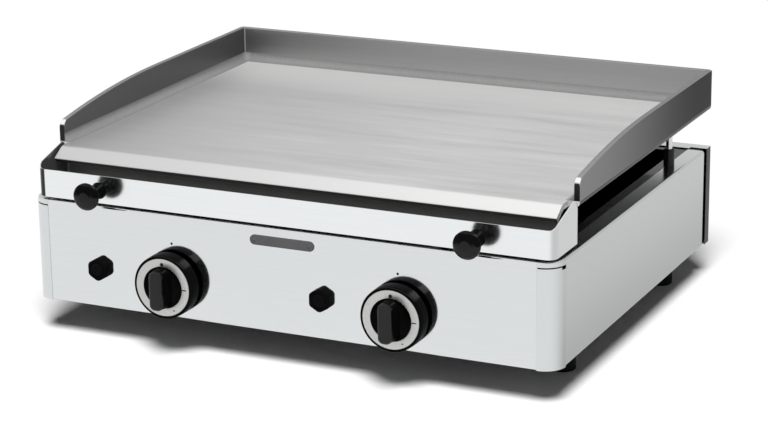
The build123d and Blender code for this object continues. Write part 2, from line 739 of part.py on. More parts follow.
def shelf_guides():
    """Strips on the shelf, inside the runners, that keep the drawer straight."""
    outer = RUNNER_X - RUNNER_W / 2 - GUIDE_PLAY
    strip = block(outer - GUIDE_W, outer, RUNNER_END, DRAWER_D - RUNNER_END, Z_RIM, Z_RIM + GUIDE_H)
    return group(both_sides(strip))


def pull(x):
    """Mushroom pull with a flared foot."""
    neck_front = -PULL_REACH + PULL_HEAD_T
    bore = PULL_SCREW_R + SEAT
    section = rounded_face([
        (0, -PULL_REACH, 0),
        (PULL_HEAD_R, -PULL_REACH, PULL_FACE_R),
        (PULL_HEAD_R, neck_front, PULL_BACK_R),
        (PULL_NECK_R, neck_front + PULL_NECK_BEND, PULL_NECK_BEND),
        (PULL_NECK_R, -PULL_FLARE, PULL_FLARE_R),
        (PULL_BASE_R, 0, 0),
        (bore, 0, 0),
        (bore, -PULL_SCREW_IN, 0),
        (0, -PULL_SCREW_IN, 0),
    ])
    return turned_y(section, x, Z_DRAWER + PULL_Z)


def pull_screws():
    """Screws through the drawer front into the pulls."""
    screws = []
    for side in SIDES.values():
        x = side * PULL_X
        z = Z_DRAWER + PULL_Z
        shank = rod_y(PULL_SCREW_R, -PULL_SCREW_IN, SHEET, x, z)
        screws.append(shank + rod_y(PULL_SCREW_HEAD_R, SHEET, SHEET + PULL_SCREW_HEAD_H, x, z))
    return group(screws)


def name_plate():
    """Blank plate with round ends on the control panel."""
    face = SlotOverall(BADGE_L, BADGE_H)
    for side in SIDES.values():
        face -= Pos(side * RIVET_X, 0) * Circle(RIVET_R + SEAT)
    return along_y(Pos(0, Z_BOTTOM + BADGE_Z) * face, -BADGE_T, 0)


def name_plate_rivets():
    """Two rivets through the name plate and the control panel."""
    rivets = []
    for side in SIDES.values():
        x = side * RIVET_X
        z = Z_BOTTOM + BADGE_Z
        shank = rod_y(RIVET_R, -BADGE_T, SHEET + RIVET_TAIL, x, z)
        rivets.append(shank + rod_y(RIVET_HEAD_R, -BADGE_T - RIVET_HEAD_H, -BADGE_T, x, z))
    return group(rivets)


def knob(x):
    """Control knob: skirt, sunk finger floor, seat for the dial ring, grip and D bore."""
    face = -KNOB_FACE
    floor = face + FINGER_DEPTH
    seat = face - DIAL_PROUD + DIAL_T
    inside = floor + KNOB_WEB
    hub = -PLUNGER_NOSE - END_PLAY
    section = rounded_face([
        (0, floor, 0),
        (DIAL_HOLE_R, floor, 0),
        (DIAL_HOLE_R, seat, 0),
        (DIAL_R, seat, 0),
        (DIAL_R, face, 0),
        (KNOB_R, face, KNOB_EDGE_R),
        (KNOB_R, -KNOB_GAP, KNOB_EDGE_R),
        (KNOB_R - KNOB_WALL, -KNOB_GAP, 0),
        (KNOB_R - KNOB_WALL, inside, 0),
        (HUB_R, inside, 0),
        (HUB_R, hub, 0),
        (0, hub, 0),
    ])
    body = turned_y(section, x, Z_KNOB)
    outline = RectangleRounded(GRIP_W, GRIP_L, GRIP_END_R)
    root = Plane(origin=(x, floor, Z_KNOB), x_dir=(1, 0, 0), z_dir=(0, -1, 0))
    grip = extrude(root * outline, GRIP_REACH + FINGER_DEPTH, taper=GRIP_TAPER)
    grip = fillet(grip.edges().group_by(Axis.Y)[0], GRIP_EDGE_R)
    bore = d_rod(x, hub - SPINDLE_IN, hub + OVER, SEAT)
    return body + grip - bore


def d_rod(x, y0, y1, play):
    """Round bar on a knob's axis with one flat side, a play larger all round."""
    flat = SPINDLE_FLAT + play
    bar = rod_y(SPINDLE_R + play, y0, y1, x, Z_KNOB)
    return bar - block(x - HUB_R, x + HUB_R, y0, y1, Z_KNOB + flat, Z_KNOB + HUB_R)


def knob_ring(x):
    """Metal dial ring let into the knob's face."""
    front = -KNOB_FACE - DIAL_PROUD
    ring = Circle(DIAL_R - SEAT) - Circle(DIAL_HOLE_R)
    return along_y(Pos(x, Z_KNOB) * ring, front, front + DIAL_T)


def spindle(x):
    """Valve spindle: D end in the knob, round shaft, thrust collar behind the push sleeve."""
    hub = -PLUNGER_NOSE - END_PLAY
    collar = PLUNGER_TAIL + END_PLAY
    bar = d_rod(x, hub - SPINDLE_IN, hub, 0)
    shaft = rod_y(SPINDLE_R, hub, SPINDLE_TAIL, x, Z_KNOB)
    return bar + shaft + rod_y(COLLAR_R, collar, collar + COLLAR_T, x, Z_KNOB)


def valve_plunger(x):
    """Sleeve that slides in the valve's neck when the knob is pushed."""
    sleeve = rod_y(PLUNGER_R, -PLUNGER_NOSE, PLUNGER_TAIL, x, Z_KNOB)
    return sleeve - rod_y(SPINDLE_R + SLIP, -PLUNGER_NOSE - OVER, PLUNGER_TAIL + OVER, x, Z_KNOB)


def gas_valve(x):
    """Brass tap: body, neck and ears on the panel, inlet port below and outlet port above."""
    bottom = Z_KNOB - VALVE_H / 2
    top = Z_KNOB + VALVE_H / 2
    body = block(x - VALVE_W / 2, x + VALVE_W / 2, VALVE_FRONT_Y, VALVE_REAR_Y, bottom, top)
    body += rod_y(VALVE_NECK_R, SHEET, VALVE_FRONT_Y, x, Z_KNOB)
    body += block(x - EAR_HALF, x + EAR_HALF, SHEET, SHEET + EAR_T, Z_KNOB - EAR_H / 2, Z_KNOB + EAR_H / 2)
    body += rod_z(VALVE_PORT_R, Z_MANIFOLD + MANIFOLD_R - PORT_SINK, bottom, x, MANIFOLD_Y)
    body += rod_z(VALVE_PORT_R, top, top + VALVE_PORT_H, x, FEED_Y)
    stroke = PUSH + END_PLAY
    collar_end = PLUNGER_TAIL + END_PLAY + COLLAR_T
    holes = [
        rod_y(PLUNGER_R + SLIP, SHEET - OVER, collar_end + stroke, x, Z_KNOB),
        rod_y(SPINDLE_R + SLIP, SHEET, SPINDLE_TAIL + stroke, x, Z_KNOB),
    ]
    for ear in SIDES.values():
        holes.append(rod_y(VALVE_SCREW_R + SEAT, -OVER, VALVE_REAR_Y, x + ear * EAR_HOLE_X, Z_KNOB))
    return body - holes


def valve_screws():
    """Screws that hold the valves' ears behind the panel, inside the knobs' skirts."""
    tip = SHEET + EAR_T + VALVE_SCREW_TIP
    screws = []
    for side in SIDES.values():
        for ear in SIDES.values():
            x = side * BURNER_X + ear * EAR_HOLE_X
            head = rod_y(VALVE_HEAD_R, -VALVE_HEAD_H, 0, x, Z_KNOB)
            screws.append(head + rod_y(VALVE_SCREW_R, 0, tip, x, Z_KNOB))
    return group(screws)


def igniter_body(x):
    """Spark igniter's housing: flange behind the panel, threaded nose, terminal at the rear."""
    shell = rod_y(BARREL_R, -BARREL_NOSE, BARREL_TAIL, x, Z_IGNITER)
    shell += rod_y(BARREL_FLANGE_R, SHEET, SHEET + BARREL_FLANGE_T, x, Z_IGNITER)
    shell += rod_y(TERMINAL_R, BARREL_TAIL, BARREL_TAIL + TERMINAL_L, x, Z_IGNITER)
    bottom = BUTTON_TAIL + BUTTON_TRAVEL + END_PLAY
    return shell - rod_y(BUTTON_R + SLIP, -BARREL_NOSE - OVER, bottom, x, Z_IGNITER)


def igniter_nut(x):
    """Six-sided ring nut with round corners on the igniter's nose, in front of the panel."""
    hexagon = RegularPolygon(RING_NUT_AF / 3 ** 0.5, 6, rotation=30)
    face = fillet(hexagon.vertices(), RING_NUT_CORNER_R) - Circle(BARREL_R + SEAT)
    return along_y(Pos(x, Z_IGNITER) * face, -RING_NUT_T, 0)


def igniter_button(x):
    """Push button inside the igniter's nose."""
    section = rounded_face([
        (0, -BUTTON_NOSE, 0),
        (BUTTON_R, -BUTTON_NOSE, BUTTON_EDGE_R),
        (BUTTON_R, BUTTON_TAIL, 0),
        (0, BUTTON_TAIL, 0),
    ])
    return turned_y(section, x, Z_IGNITER)


def ignition_lead(x):
    """Spark lead from the igniter's terminal to the electrode."""
    start = BARREL_TAIL + TERMINAL_L
    return bent_rod([
        (x - IGNITER_SIDE, start, Z_IGNITER),
        (x - IGNITER_SIDE, LEAD_Y, Z_IGNITER),
        (x - ELECTRODE_X, LEAD_Y, Z_SENSOR),
        (x - ELECTRODE_X, ELECTRODE_FRONT_Y, Z_SENSOR),
    ], LEAD_BEND, LEAD_R)


def electrode(x):
    """Ceramic rod through the burner box with a hooked spark wire."""
    at = x - ELECTRODE_X
    wire_end = ELECTRODE_REAR_Y + SPARK_RUN
    wire = bent_rod([
        (at, ELECTRODE_REAR_Y - OVER, Z_SENSOR),
        (at, wire_end, Z_SENSOR),
        (at + SPARK_HOOK, wire_end, Z_SENSOR + SPARK_HOOK),
    ], SPARK_BEND, SPARK_R)
    return rod_y(ELECTRODE_R, ELECTRODE_FRONT_Y, ELECTRODE_REAR_Y, at, Z_SENSOR) + wire


def thermocouple(x):
    """Flame sensor through the burner box, with its capillary from the valve."""
    at = x + SENSOR_X
    port_x = x + CAPILLARY_X
    port_z = Z_KNOB + CAPILLARY_Z
    capillary = bent_rod([
        (at, SENSOR_FRONT_Y + OVER, Z_SENSOR),
        (at, CAPILLARY_Y, Z_SENSOR),
        (at, CAPILLARY_Y, port_z),
        (port_x, CAPILLARY_Y, port_z),
        (port_x, VALVE_REAR_Y, port_z),
    ], CAPILLARY_BEND, CAPILLARY_R)
    return rod_y(SENSOR_R, SENSOR_FRONT_Y, SENSOR_TIP_Y, at, Z_SENSOR) + capillary


def feed_pipe(x):
    """Pipe from the valve's outlet up and back to the injector."""
    return bent_rod([
        (x, FEED_Y, Z_KNOB + VALVE_H / 2 + VALVE_PORT_H),
        (x, FEED_Y, Z_BURNER),
        (x, MIXER_FRONT_Y + INJECTOR_IN - INJECTOR_L, Z_BURNER),
    ], FEED_BEND, FEED_R)


def injector(x):
    """Brass injector in the mouth of the mixer."""
    end = MIXER_FRONT_Y + INJECTOR_IN
    body = rod_y(INJECTOR_R, end - INJECTOR_L, end, x, Z_BURNER)
    return body - rod_y(JET_R, end - INJECTOR_L - OVER, end + OVER, x, Z_BURNER)


def burner(x):
    """Tube burner: mixer with air windows, closed burner tube and two rows of ports."""
    tube = rod_y(BURNER_R, BURNER_FRONT_Y, BURNER_REAR_Y, x, Z_BURNER)
    tube += rod_y(MIXER_R, MIXER_FRONT_Y, BURNER_FRONT_Y, x, Z_BURNER)
    front = BURNER_FRONT_Y + BURNER_WALL
    inside = rod_y(BURNER_R - BURNER_WALL, front, BURNER_REAR_Y - BURNER_WALL, x, Z_BURNER)
    mixer_end = front + BURNER_WALL
    inside += rod_y(MIXER_R - BURNER_WALL, MIXER_FRONT_Y + BURNER_WALL, mixer_end, x, Z_BURNER)
    holes = [inside, rod_y(INJECTOR_R + SEAT, MIXER_FRONT_Y - OVER, MIXER_FRONT_Y + OVER, x, Z_BURNER)]
    window_y = MIXER_FRONT_Y + AIR_Y
    holes.append(block(x - BURNER_R, x + BURNER_R, window_y, window_y + AIR_L,
                       Z_BURNER - AIR_H / 2, Z_BURNER + AIR_H / 2))
    middle_y = (BURNER_FRONT_Y + BURNER_REAR_Y) / 2
    for place in GridLocations(1, PORT_PITCH, 1, PORT_COUNT):
        for side in SIDES.values():
            port = Rot(0, side * PORT_ANGLE, 0) * Pos(0, 0, BURNER_R) * Cylinder(PORT_R, BURNER_R)
            holes.append(Pos(x, middle_y + place.position.Y, Z_BURNER) * port)
    return tube - holes


def burner_brackets():
    """Cradles that carry the burners' rear ends on the floor of the burner box."""
    y = BURNER_REAR_Y - BRACKET_REAR
    brackets = []
    for side in SIDES.values():
        x = side * BURNER_X
        plate = block(x - BRACKET_W / 2, x + BRACKET_W / 2, y, y + BRACKET_T, Z_BOX + SHEET, Z_BURNER)
        brackets.append(plate - rod_y(BURNER_R + SEAT, y - OVER, y + OVER, x, Z_BURNER))
    return group(brackets)


def gas_manifold():
    """Gas rail under the valves, bent back along the right to the inlet."""
    points = [
        (-BURNER_X - MANIFOLD_END, MANIFOLD_Y, Z_MANIFOLD),
        (INLET_X, MANIFOLD_Y, Z_MANIFOLD),
        (INLET_X, CASING_D - SHEET - INLET_BODY_L, Z_MANIFOLD),
    ]
    rail = bent_rod(points, MANIFOLD_BEND, MANIFOLD_R)
    points[0] = (-BURNER_X - MANIFOLD_END + MANIFOLD_WALL, MANIFOLD_Y, Z_MANIFOLD)
    bore = bent_rod(points, MANIFOLD_BEND, MANIFOLD_R - MANIFOLD_WALL)
    seats = []
    for side in SIDES.values():
        seats.append(rod_z(VALVE_PORT_R + SEAT, Z_MANIFOLD + MANIFOLD_R - PORT_SINK, Z_KNOB,
                           side * BURNER_X, MANIFOLD_Y))
    return rail - bore - seats


def gas_inlet():
    """Threaded inlet through the back panel, with its nut outside and hexagon inside."""
    back = CASING_D - SHEET
    start = back - INLET_BODY_L
    axis = Pos(INLET_X, Z_MANIFOLD)
    body = along_y(axis * RegularPolygon(INLET_BODY_AF / 2, 6, major_radius=False), start, back)
    body += rod_y(INLET_R, back, CASING_D + INLET_REACH, INLET_X, Z_MANIFOLD)
    nut = axis * RegularPolygon(INLET_NUT_AF / 2, 6, major_radius=False)
    body += along_y(nut, CASING_D, CASING_D + INLET_NUT_T)
    return body - rod_y(INLET_BORE_R, start - OVER, CASING_D + INLET_REACH + OVER, INLET_X, Z_MANIFOLD)


def pipe_clip():
    """Saddle on the base pan under the gas pipe."""
    half = MANIFOLD_R + CLIP_WALL
    saddle = block(INLET_X - half, INLET_X + half, CLIP_Y, CLIP_Y + CLIP_L, Z_PAN_TOP, Z_MANIFOLD)
    return saddle - rod_y(MANIFOLD_R + SEAT, CLIP_Y - OVER, CLIP_Y + CLIP_L + OVER, INLET_X, Z_MANIFOLD)


def build_nodes():
    """Every node of the griddle by name."""
    side = right_side_panel()
    nodes = {
        "left_side_panel": mirror(side, Plane.YZ),
        "right_side_panel": side,
        "front_panel": front_panel(),
        "rear_panel": rear_panel(),
        "base_pan": base_pan(),
        "base_screws": base_screws(),
        "foot_screws": foot_screws(),
        "burner_box": burner_box(),
        "burner_brackets": burner_brackets(),
        "plate_cups": plate_cups(),
        "name_plate": name_plate(),
        "name_plate_rivets": name_plate_rivets(),
        "shelf_guides": shelf_guides(),
        "gas_manifold": gas_manifold(),
        "gas_inlet": gas_inlet(),
        "pipe_clip": pipe_clip(),
        "valve_screws": valve_screws(),
        "grease_drawer": grease_drawer(),
        "drawer_cheeks": drawer_cheeks(),
        "drawer_runners": drawer_runners(),
        "pull_screws": pull_screws(),
        "griddle_plate": griddle_plate(),
        "plate_lip": plate_lip(),
        "splash_guard": splash_guard(),
        "guard_weld": guard_weld(),
        "plate_legs": plate_legs(),
    }
    for name, (side, y) in FEET.items():
        nodes[name] = foot(side * (HALF_W - FOOT_X), y)
    for name, side in SIDES.items():
        x = side * BURNER_X
        nodes[name + "_pull"] = pull(side * PULL_X)
        nodes[name + "_gas_valve"] = gas_valve(x)
        nodes[name + "_valve_plunger"] = valve_plunger(x)
        nodes[name + "_spindle"] = spindle(x)
        nodes[name + "_knob"] = knob(x)
        nodes[name + "_knob_ring"] = knob_ring(x)
        nodes[name + "_feed_pipe"] = feed_pipe(x)
        nodes[name + "_injector"] = injector(x)
        nodes[name + "_burner"] = burner(x)
        nodes[name + "_thermocouple"] = thermocouple(x)
        nodes[name + "_electrode"] = electrode(x)
        nodes[name + "_ignition_lead"] = ignition_lead(x)
        nodes[name + "_igniter_body"] = igniter_body(x - IGNITER_SIDE)
        nodes[name + "_igniter_nut"] = igniter_nut(x - IGNITER_SIDE)
        nodes[name + "_igniter_button"] = igniter_button(x - IGNITER_SIDE)
    return nodes


os.makedirs("parts", exist_ok=True)
for node, shape in build_nodes().items():
    export_step(Pos(0, -Y_MIDDLE, 0) * shape, f"parts/{node}.step")
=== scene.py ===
"""Looks of a two-burner countertop gas griddle: finishes, finer pieces, studio light and camera."""
import logging
import math
from dataclasses import dataclass, field
from enum import Enum
from typing import Any, Callable, Sequence

import bmesh
import bpy
import numpy as np
from mathutils import Matrix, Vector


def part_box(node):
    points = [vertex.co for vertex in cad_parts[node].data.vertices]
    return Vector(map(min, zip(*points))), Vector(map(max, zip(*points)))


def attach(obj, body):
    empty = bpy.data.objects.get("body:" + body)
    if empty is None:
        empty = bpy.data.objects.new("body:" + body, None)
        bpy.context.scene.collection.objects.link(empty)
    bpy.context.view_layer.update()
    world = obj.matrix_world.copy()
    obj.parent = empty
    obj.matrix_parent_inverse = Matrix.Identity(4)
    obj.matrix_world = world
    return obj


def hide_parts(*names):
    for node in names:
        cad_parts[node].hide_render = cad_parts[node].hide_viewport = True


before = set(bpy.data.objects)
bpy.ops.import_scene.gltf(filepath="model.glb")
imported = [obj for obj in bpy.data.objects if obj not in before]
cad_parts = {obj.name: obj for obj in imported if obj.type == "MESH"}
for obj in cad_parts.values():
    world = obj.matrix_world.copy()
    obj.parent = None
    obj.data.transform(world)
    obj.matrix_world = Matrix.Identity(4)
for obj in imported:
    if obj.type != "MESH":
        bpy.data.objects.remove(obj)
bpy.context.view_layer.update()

MM = 0.001
LOG = logging.getLogger("griddle")

SIDES = ("left", "right")

Point = tuple[float, float, float]
Colour = tuple[float, float, float]

FRONT: Point = (0.0, -1.0, 0.0)
REARWARD: Point = (0.0, 1.0, 0.0)
SKY: Point = (0.0, 0.0, 1.0)
FLOORWARD: Point = (0.0, 0.0, -1.0)

PRINT_PROUD = 0.12
PRINT_SUNK = 0.2
PRINT_EASE = 0.1


def grey(level: float) -> Colour:
    """Gives a neutral grey."""
    return (level, level, level)


def both(*names: str) -> tuple[str, ...]:
    """Lists the left and the right node of each name."""
    return tuple(f"{side}_{name}" for name in names for side in SIDES)


@dataclass(frozen=True)
class Place:
    """A spot on the griddle with its own directions; local sizes there are in millimetres.

    Args:
        origin: the spot in metres.
        out: unit direction that leaves the surface.
        up: unit direction that counts as up on the surface.
    """

    origin: Point
    out: Point
    up: Point = SKY

    def at(self, u: np.ndarray, v: np.ndarray, w: np.ndarray) -> np.ndarray:
        """Moves local points onto the griddle: origin + u * right + v * up + w * out.

        Args:
            u: distances to the right.
            v: distances up.
            w: distances outwards.

        Returns:
            Points in metres, with one more axis of length 3.
        """
        up, out = np.array(self.up), np.array(self.out)
        parts = zip(np.broadcast_arrays(u, v, w), (np.cross(up, out), up, out))
        return np.array(self.origin) + MM * sum(part[..., None] * way for part, way in parts)

    def moved(self, u: float, v: float) -> "Place":
        """Gives the place that lies u to the right and v up, with the same directions."""
        return Place(tuple(self.at(np.array(u), np.array(v), np.array(0.0))), self.out, self.up)


def middle(node: str) -> np.ndarray:
    """Gives the middle of a CAD node's box, in metres."""
    low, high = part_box(node)
    return (np.array(low) + np.array(high)) / 2


def front_place(node: str) -> Place:
    """Gives the place on the control panel's face that lies behind a node's middle."""
    x, _, z = middle(node)
    return Place((x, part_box("front_panel")[0][1], z), FRONT)


def rounded(corners: Sequence[Point], closed: bool = False, steps: int = 6) -> np.ndarray:
    """Runs a line through corners and swaps each corner for an arc tangent to both its sides.

    The arc turns about a centre on the corner's bisector, at radius / sin(half the corner angle).

    Args:
        corners: (first coordinate, second coordinate, radius) of each corner.
        closed: joins the last corner to the first.
        steps: points on each arc, less one.

    Returns:
        Points of the line, shape (n, 2).
    """
    spots = np.array([corner[:2] for corner in corners])
    line: list[np.ndarray] = []
    for i, (spot, radius) in enumerate(zip(spots, [corner[2] for corner in corners])):
        inner = closed or 0 < i < len(spots) - 1
        if radius <= 0 or not inner:
            line.append(spot[None])
            continue
        ways = [spots[i - 1] - spot, spots[(i + 1) % len(spots)] - spot]
        first, second = (way / np.linalg.norm(way) for way in ways)
        half = math.acos(np.clip(first @ second, -1.0, 1.0)) / 2
        reach = radius / math.tan(half)
        bisector = (first + second) / np.linalg.norm(first + second)
        centre = spot + bisector * radius / math.sin(half)
        turn, part = math.pi - 2 * half, np.linspace(0, 1, steps + 1)[:, None]
        start, end = spot + first * reach - centre, spot + second * reach - centre
        line.append(centre + (np.sin((1 - part) * turn) * start + np.sin(part * turn) * end) / math.sin(turn))
    return np.concatenate(line)


def corners_of(half_w: float, half_h: float, radius: float) -> list[Point]:
    """Lists a rectangle's corners with their radius, counter-clockwise from the lower right."""
    return [(u * half_w, v * half_h, radius) for u, v in ((1, -1), (1, 1), (-1, 1), (-1, -1))]


def eased(edge: float, count: int) -> list[tuple[float, float]]:
    """Lists (inset, drop) along a rounded edge, a quarter circle from the wall to the face."""
    turn = np.linspace(0, math.pi / 2, count)
    return [(edge * (1 - math.cos(a)), edge * (1 - math.sin(a))) for a in turn]


def turned(profile: np.ndarray, place: Place, sides: int = 96,
           sunk: Callable[[np.ndarray, np.ndarray], np.ndarray] | None = None) -> np.ndarray:
    """Turns a profile of (radius, height) about a place's outward axis: (r sin a, r cos a, h - sunk).

    Args:
        profile: the profile's points, shape (rows, 2), in millimetres.
        place: where the axis stands.
        sides: points round the axis.
        sunk: gives how deep the surface is sunk at points to the right of and above the axis.

    Returns:
        A ring-shaped grid of points, shape (rows, sides, 3).
    """
    angle = np.linspace(0, 2 * math.pi, sides, endpoint=False)
    u, v = profile[:, :1] * np.sin(angle), profile[:, :1] * np.cos(angle)
    depth = sunk(u, v) if sunk else 0 * angle
    return place.at(u, v, profile[:, 1:2] - depth)


def printed_dot(place: Place, radius: float, face: float = 0.0) -> np.ndarray:
    """Turns a thin printed dot on a face: a disc that stands a little proud, with an eased edge."""
    proud, root = face + PRINT_PROUD, face - PRINT_SUNK
    profile = np.array([(0.0, proud), (radius - PRINT_EASE, proud), (radius, root), (0.0, root)])
    return turned(profile, place, 28)


def walled(outline: np.ndarray, layers: Sequence[Point], place: Place, crown: float = 0.0) -> np.ndarray:
    """Carries an outline up through layers: each row is shrink * (outline - inset * its normal) at a height.

    Args:
        outline: counter-clockwise closed outline, shape (n, 2).
        layers: (inset, height, shrink) of each row; a shrink of 0 closes an end.
        place: where the outline's middle stands.
        crown: how far the middle of the last rows bulges out, as crown * (1 - shrink squared).

    Returns:
        A ring-shaped grid of points, shape (rows, n, 3).
    """
    along = np.roll(outline, -1, axis=0) - np.roll(outline, 1, axis=0)
    normal = np.stack([along[:, 1], -along[:, 0]], axis=1) / np.linalg.norm(along, axis=1, keepdims=True)
    inset, height, shrink = (np.array(column)[:, None] for column in zip(*layers))
    flat = (outline[None] - inset[..., None] * normal[None]) * shrink[..., None]
    bulge = np.where(height > np.mean(height), crown * (1 - shrink ** 2), 0.0)
    return place.at(flat[..., 0], flat[..., 1], height + bulge + 0 * flat[..., 0])


def lidded(low: float, high: float, edge: float, draft: float = 0.0, steps: int = 5) -> list[Point]:
    """Lists the layers of a closed block with a rounded outer edge: a quarter circle of insets at the top.

    Args:
        low: height of the hidden end.
        high: height of the outer face.
        edge: radius of the outer edge.
        draft: inset at the top of the straight wall.
        steps: rows on the rounded edge.

    Returns:
        Layers for walled().
    """
    wall = [(0.0, low, 0.0), (0.0, low, 0.55), (0.0, low, 1.0)]
    curve = [(draft + inset, high - drop, 1.0) for inset, drop in eased(edge, steps + 1)]
    return wall + curve + [(draft + edge, high, part) for part in (0.75, 0.5, 0.25, 0.0)]


def slab(low: float, high: float) -> list[Point]:
    """Lists the layers of a closed flat slab with sharp edges, for walled()."""
    return [(0.0, low, 0.0), (0.0, low, 1.0), (0.0, high, 1.0), (0.0, high, 0.0)]


class Field:
    """A shader socket that takes part in plain arithmetic; each operation adds one Math node."""

    def __init__(self, graph: "Graph", socket: bpy.types.NodeSocket) -> None:
        """Wraps a socket of a graph."""
        self.graph = graph
        self.socket = socket

    def _with(self, operation: str, first: Any, second: Any) -> "Field":
        """Adds a Math node with this operation on two values."""
        return self.graph.add("ShaderNodeMath", {"operation": operation}, {0: first, 1: second})

    def __add__(self, other: Any) -> "Field":
        """Adds a value."""
        return self._with("ADD", self, other)

    def __radd__(self, other: Any) -> "Field":
        """Adds this to a value."""
        return self._with("ADD", other, self)

    def __sub__(self, other: Any) -> "Field":
        """Takes a value away."""
        return self._with("SUBTRACT", self, other)

    def __rsub__(self, other: Any) -> "Field":
        """Takes this away from a value."""
        return self._with("SUBTRACT", other, self)

    def __mul__(self, other: Any) -> "Field":
        """Multiplies by a value."""
        return self._with("MULTIPLY", self, other)

    def __rmul__(self, other: Any) -> "Field":
        """Multiplies a value by this."""
        return self._with("MULTIPLY", other, self)

    def __or__(self, other: Any) -> "Field":
        """Takes the larger of two values."""
        return self._with("MAXIMUM", self, other)

    def step(self, low: float, high: float) -> "Field":
        """Maps this onto 0 to 1 between two limits, smoothly, and holds it there."""
        settings = {"interpolation_type": "SMOOTHSTEP"}
        return self.graph.add("ShaderNodeMapRange", settings, {0: self, 1: low, 2: high})


class Graph:
    """The nodes of one material or of the world."""

    def __init__(self, tree: bpy.types.NodeTree) -> None:
        """Empties a node tree and works on it."""
        self.tree = tree
        tree.nodes.clear()

    def add(self, kind: str, settings: dict[str, Any] | None = None,
            sockets: dict[str | int, Any] | None = None, out: str | int = 0) -> Field:
        """Adds a node, sets it up and feeds its sockets.

        Args:
            kind: the node's type.
            settings: attributes that are set before the sockets.
            sockets: values or fields by socket name or number.
            out: name or number of the output that is returned.

        Returns:
            The chosen output.
        """
        node = self.tree.nodes.new(kind)
        for name, value in (settings or {}).items():
            setattr(node, name, value)
        for name, value in (sockets or {}).items():
            if isinstance(value, Field):
                self.tree.links.new(value.socket, node.inputs[name])
            else:
                node.inputs[name].default_value = value
        return Field(self, node.outputs[out] if len(node.outputs) else None)

    def noise(self, scale: Point, detail: float = 4.0, rough: float = 0.55, shift: float = 0.0) -> Field:
        """Gives noise over Object coordinates.

        Args:
            scale: cycles per metre along X, Y and Z.
            detail: finer octaves.
            rough: weight of the finer octaves.
            shift: moves the pattern, so that two noises differ.

        Returns:
            Values round 0.5.
        """
        spot = self.add("ShaderNodeTexCoord", out="Object")
        place = {"Vector": spot, "Location": (shift, shift, shift), "Scale": scale}
        spot = self.add("ShaderNodeMapping", None, place)
        weave = {"Vector": spot, "Scale": 1.0, "Detail": detail, "Roughness": rough}
        return self.add("ShaderNodeTexNoise", None, weave)

    def height(self, axis: str) -> Field:
        """Gives one Object coordinate, in metres."""
        spot = self.add("ShaderNodeTexCoord", out="Object")
        return self.add("ShaderNodeSeparateXYZ", None, {0: spot}, out=axis)

    def facing(self, axis: str) -> Field:
        """Gives one part of the surface's own normal."""
        normal = self.add("ShaderNodeNewGeometry", out="Normal")
        return self.add("ShaderNodeSeparateXYZ", None, {0: normal}, out=axis)

    def sideways(self, low: float, high: float) -> Field:
        """Gives 1 on faces that look to the left or right, from the square of their normal's part along X."""
        aside = self.facing("X")
        return (aside * aside).step(low, high)

    def blend(self, part: Field, first: Any, second: Any) -> Field:
        """Mixes two colours by a field."""
        ends = [(*end, 1.0) if isinstance(end, tuple) else end for end in (first, second)]
        return self.add("ShaderNodeMix", {"data_type": "RGBA"}, {0: part, 6: ends[0], 7: ends[1]}, out=2)

    def bump(self, height: Field, strength: float, depth: float) -> Field:
        """Turns heights into a normal."""
        return self.add("ShaderNodeBump", None, {"Strength": strength, "Distance": depth, "Height": height})

    def surface(self, base: Any, rough: Any, metal: float = 0.0, normal: Field | None = None,
                fixed: dict[str, Any] | None = None) -> None:
        """Ends the graph in a Principled shader.

        Args:
            base: colour field.
            rough: roughness value or field.
            metal: 1 for bare metal.
            normal: bumped normal.
            fixed: further socket values that are the same all over.
        """
        sockets: dict[str | int, Any] = {"Base Color": base, "Roughness": rough, "Metallic": metal}
        sockets.update(fixed or {})
        if normal is not None:
            sockets["Normal"] = normal
        self.add("ShaderNodeOutputMaterial", None, {0: self.add("ShaderNodeBsdfPrincipled", None, sockets)})


class Grain(Enum):
    """Which way a sheet was brushed, as cycles per metre along X, Y and Z."""

    LEVEL = (2.5, 2.5, 1100.0)
    ACROSS = (2.5, 900.0, 2.5)
    NONE = (420.0, 420.0, 420.0)


@dataclass(frozen=True)
class Finish:
    """A surface finish that draws its own nodes.

    Args:
        name: name of the material.
    """

    name: str

    def draw(self, graph: Graph) -> None:
        """Draws the nodes of this finish."""
        raise NotImplementedError

    def material(self) -> bpy.types.Material:
        """Gives the finish's material, made at its first use."""
        found = bpy.data.materials.get(self.name)
        if found is None:
            found = bpy.data.materials.new(self.name)
            found.use_nodes = True
            self.draw(Graph(found.node_tree))
        return found


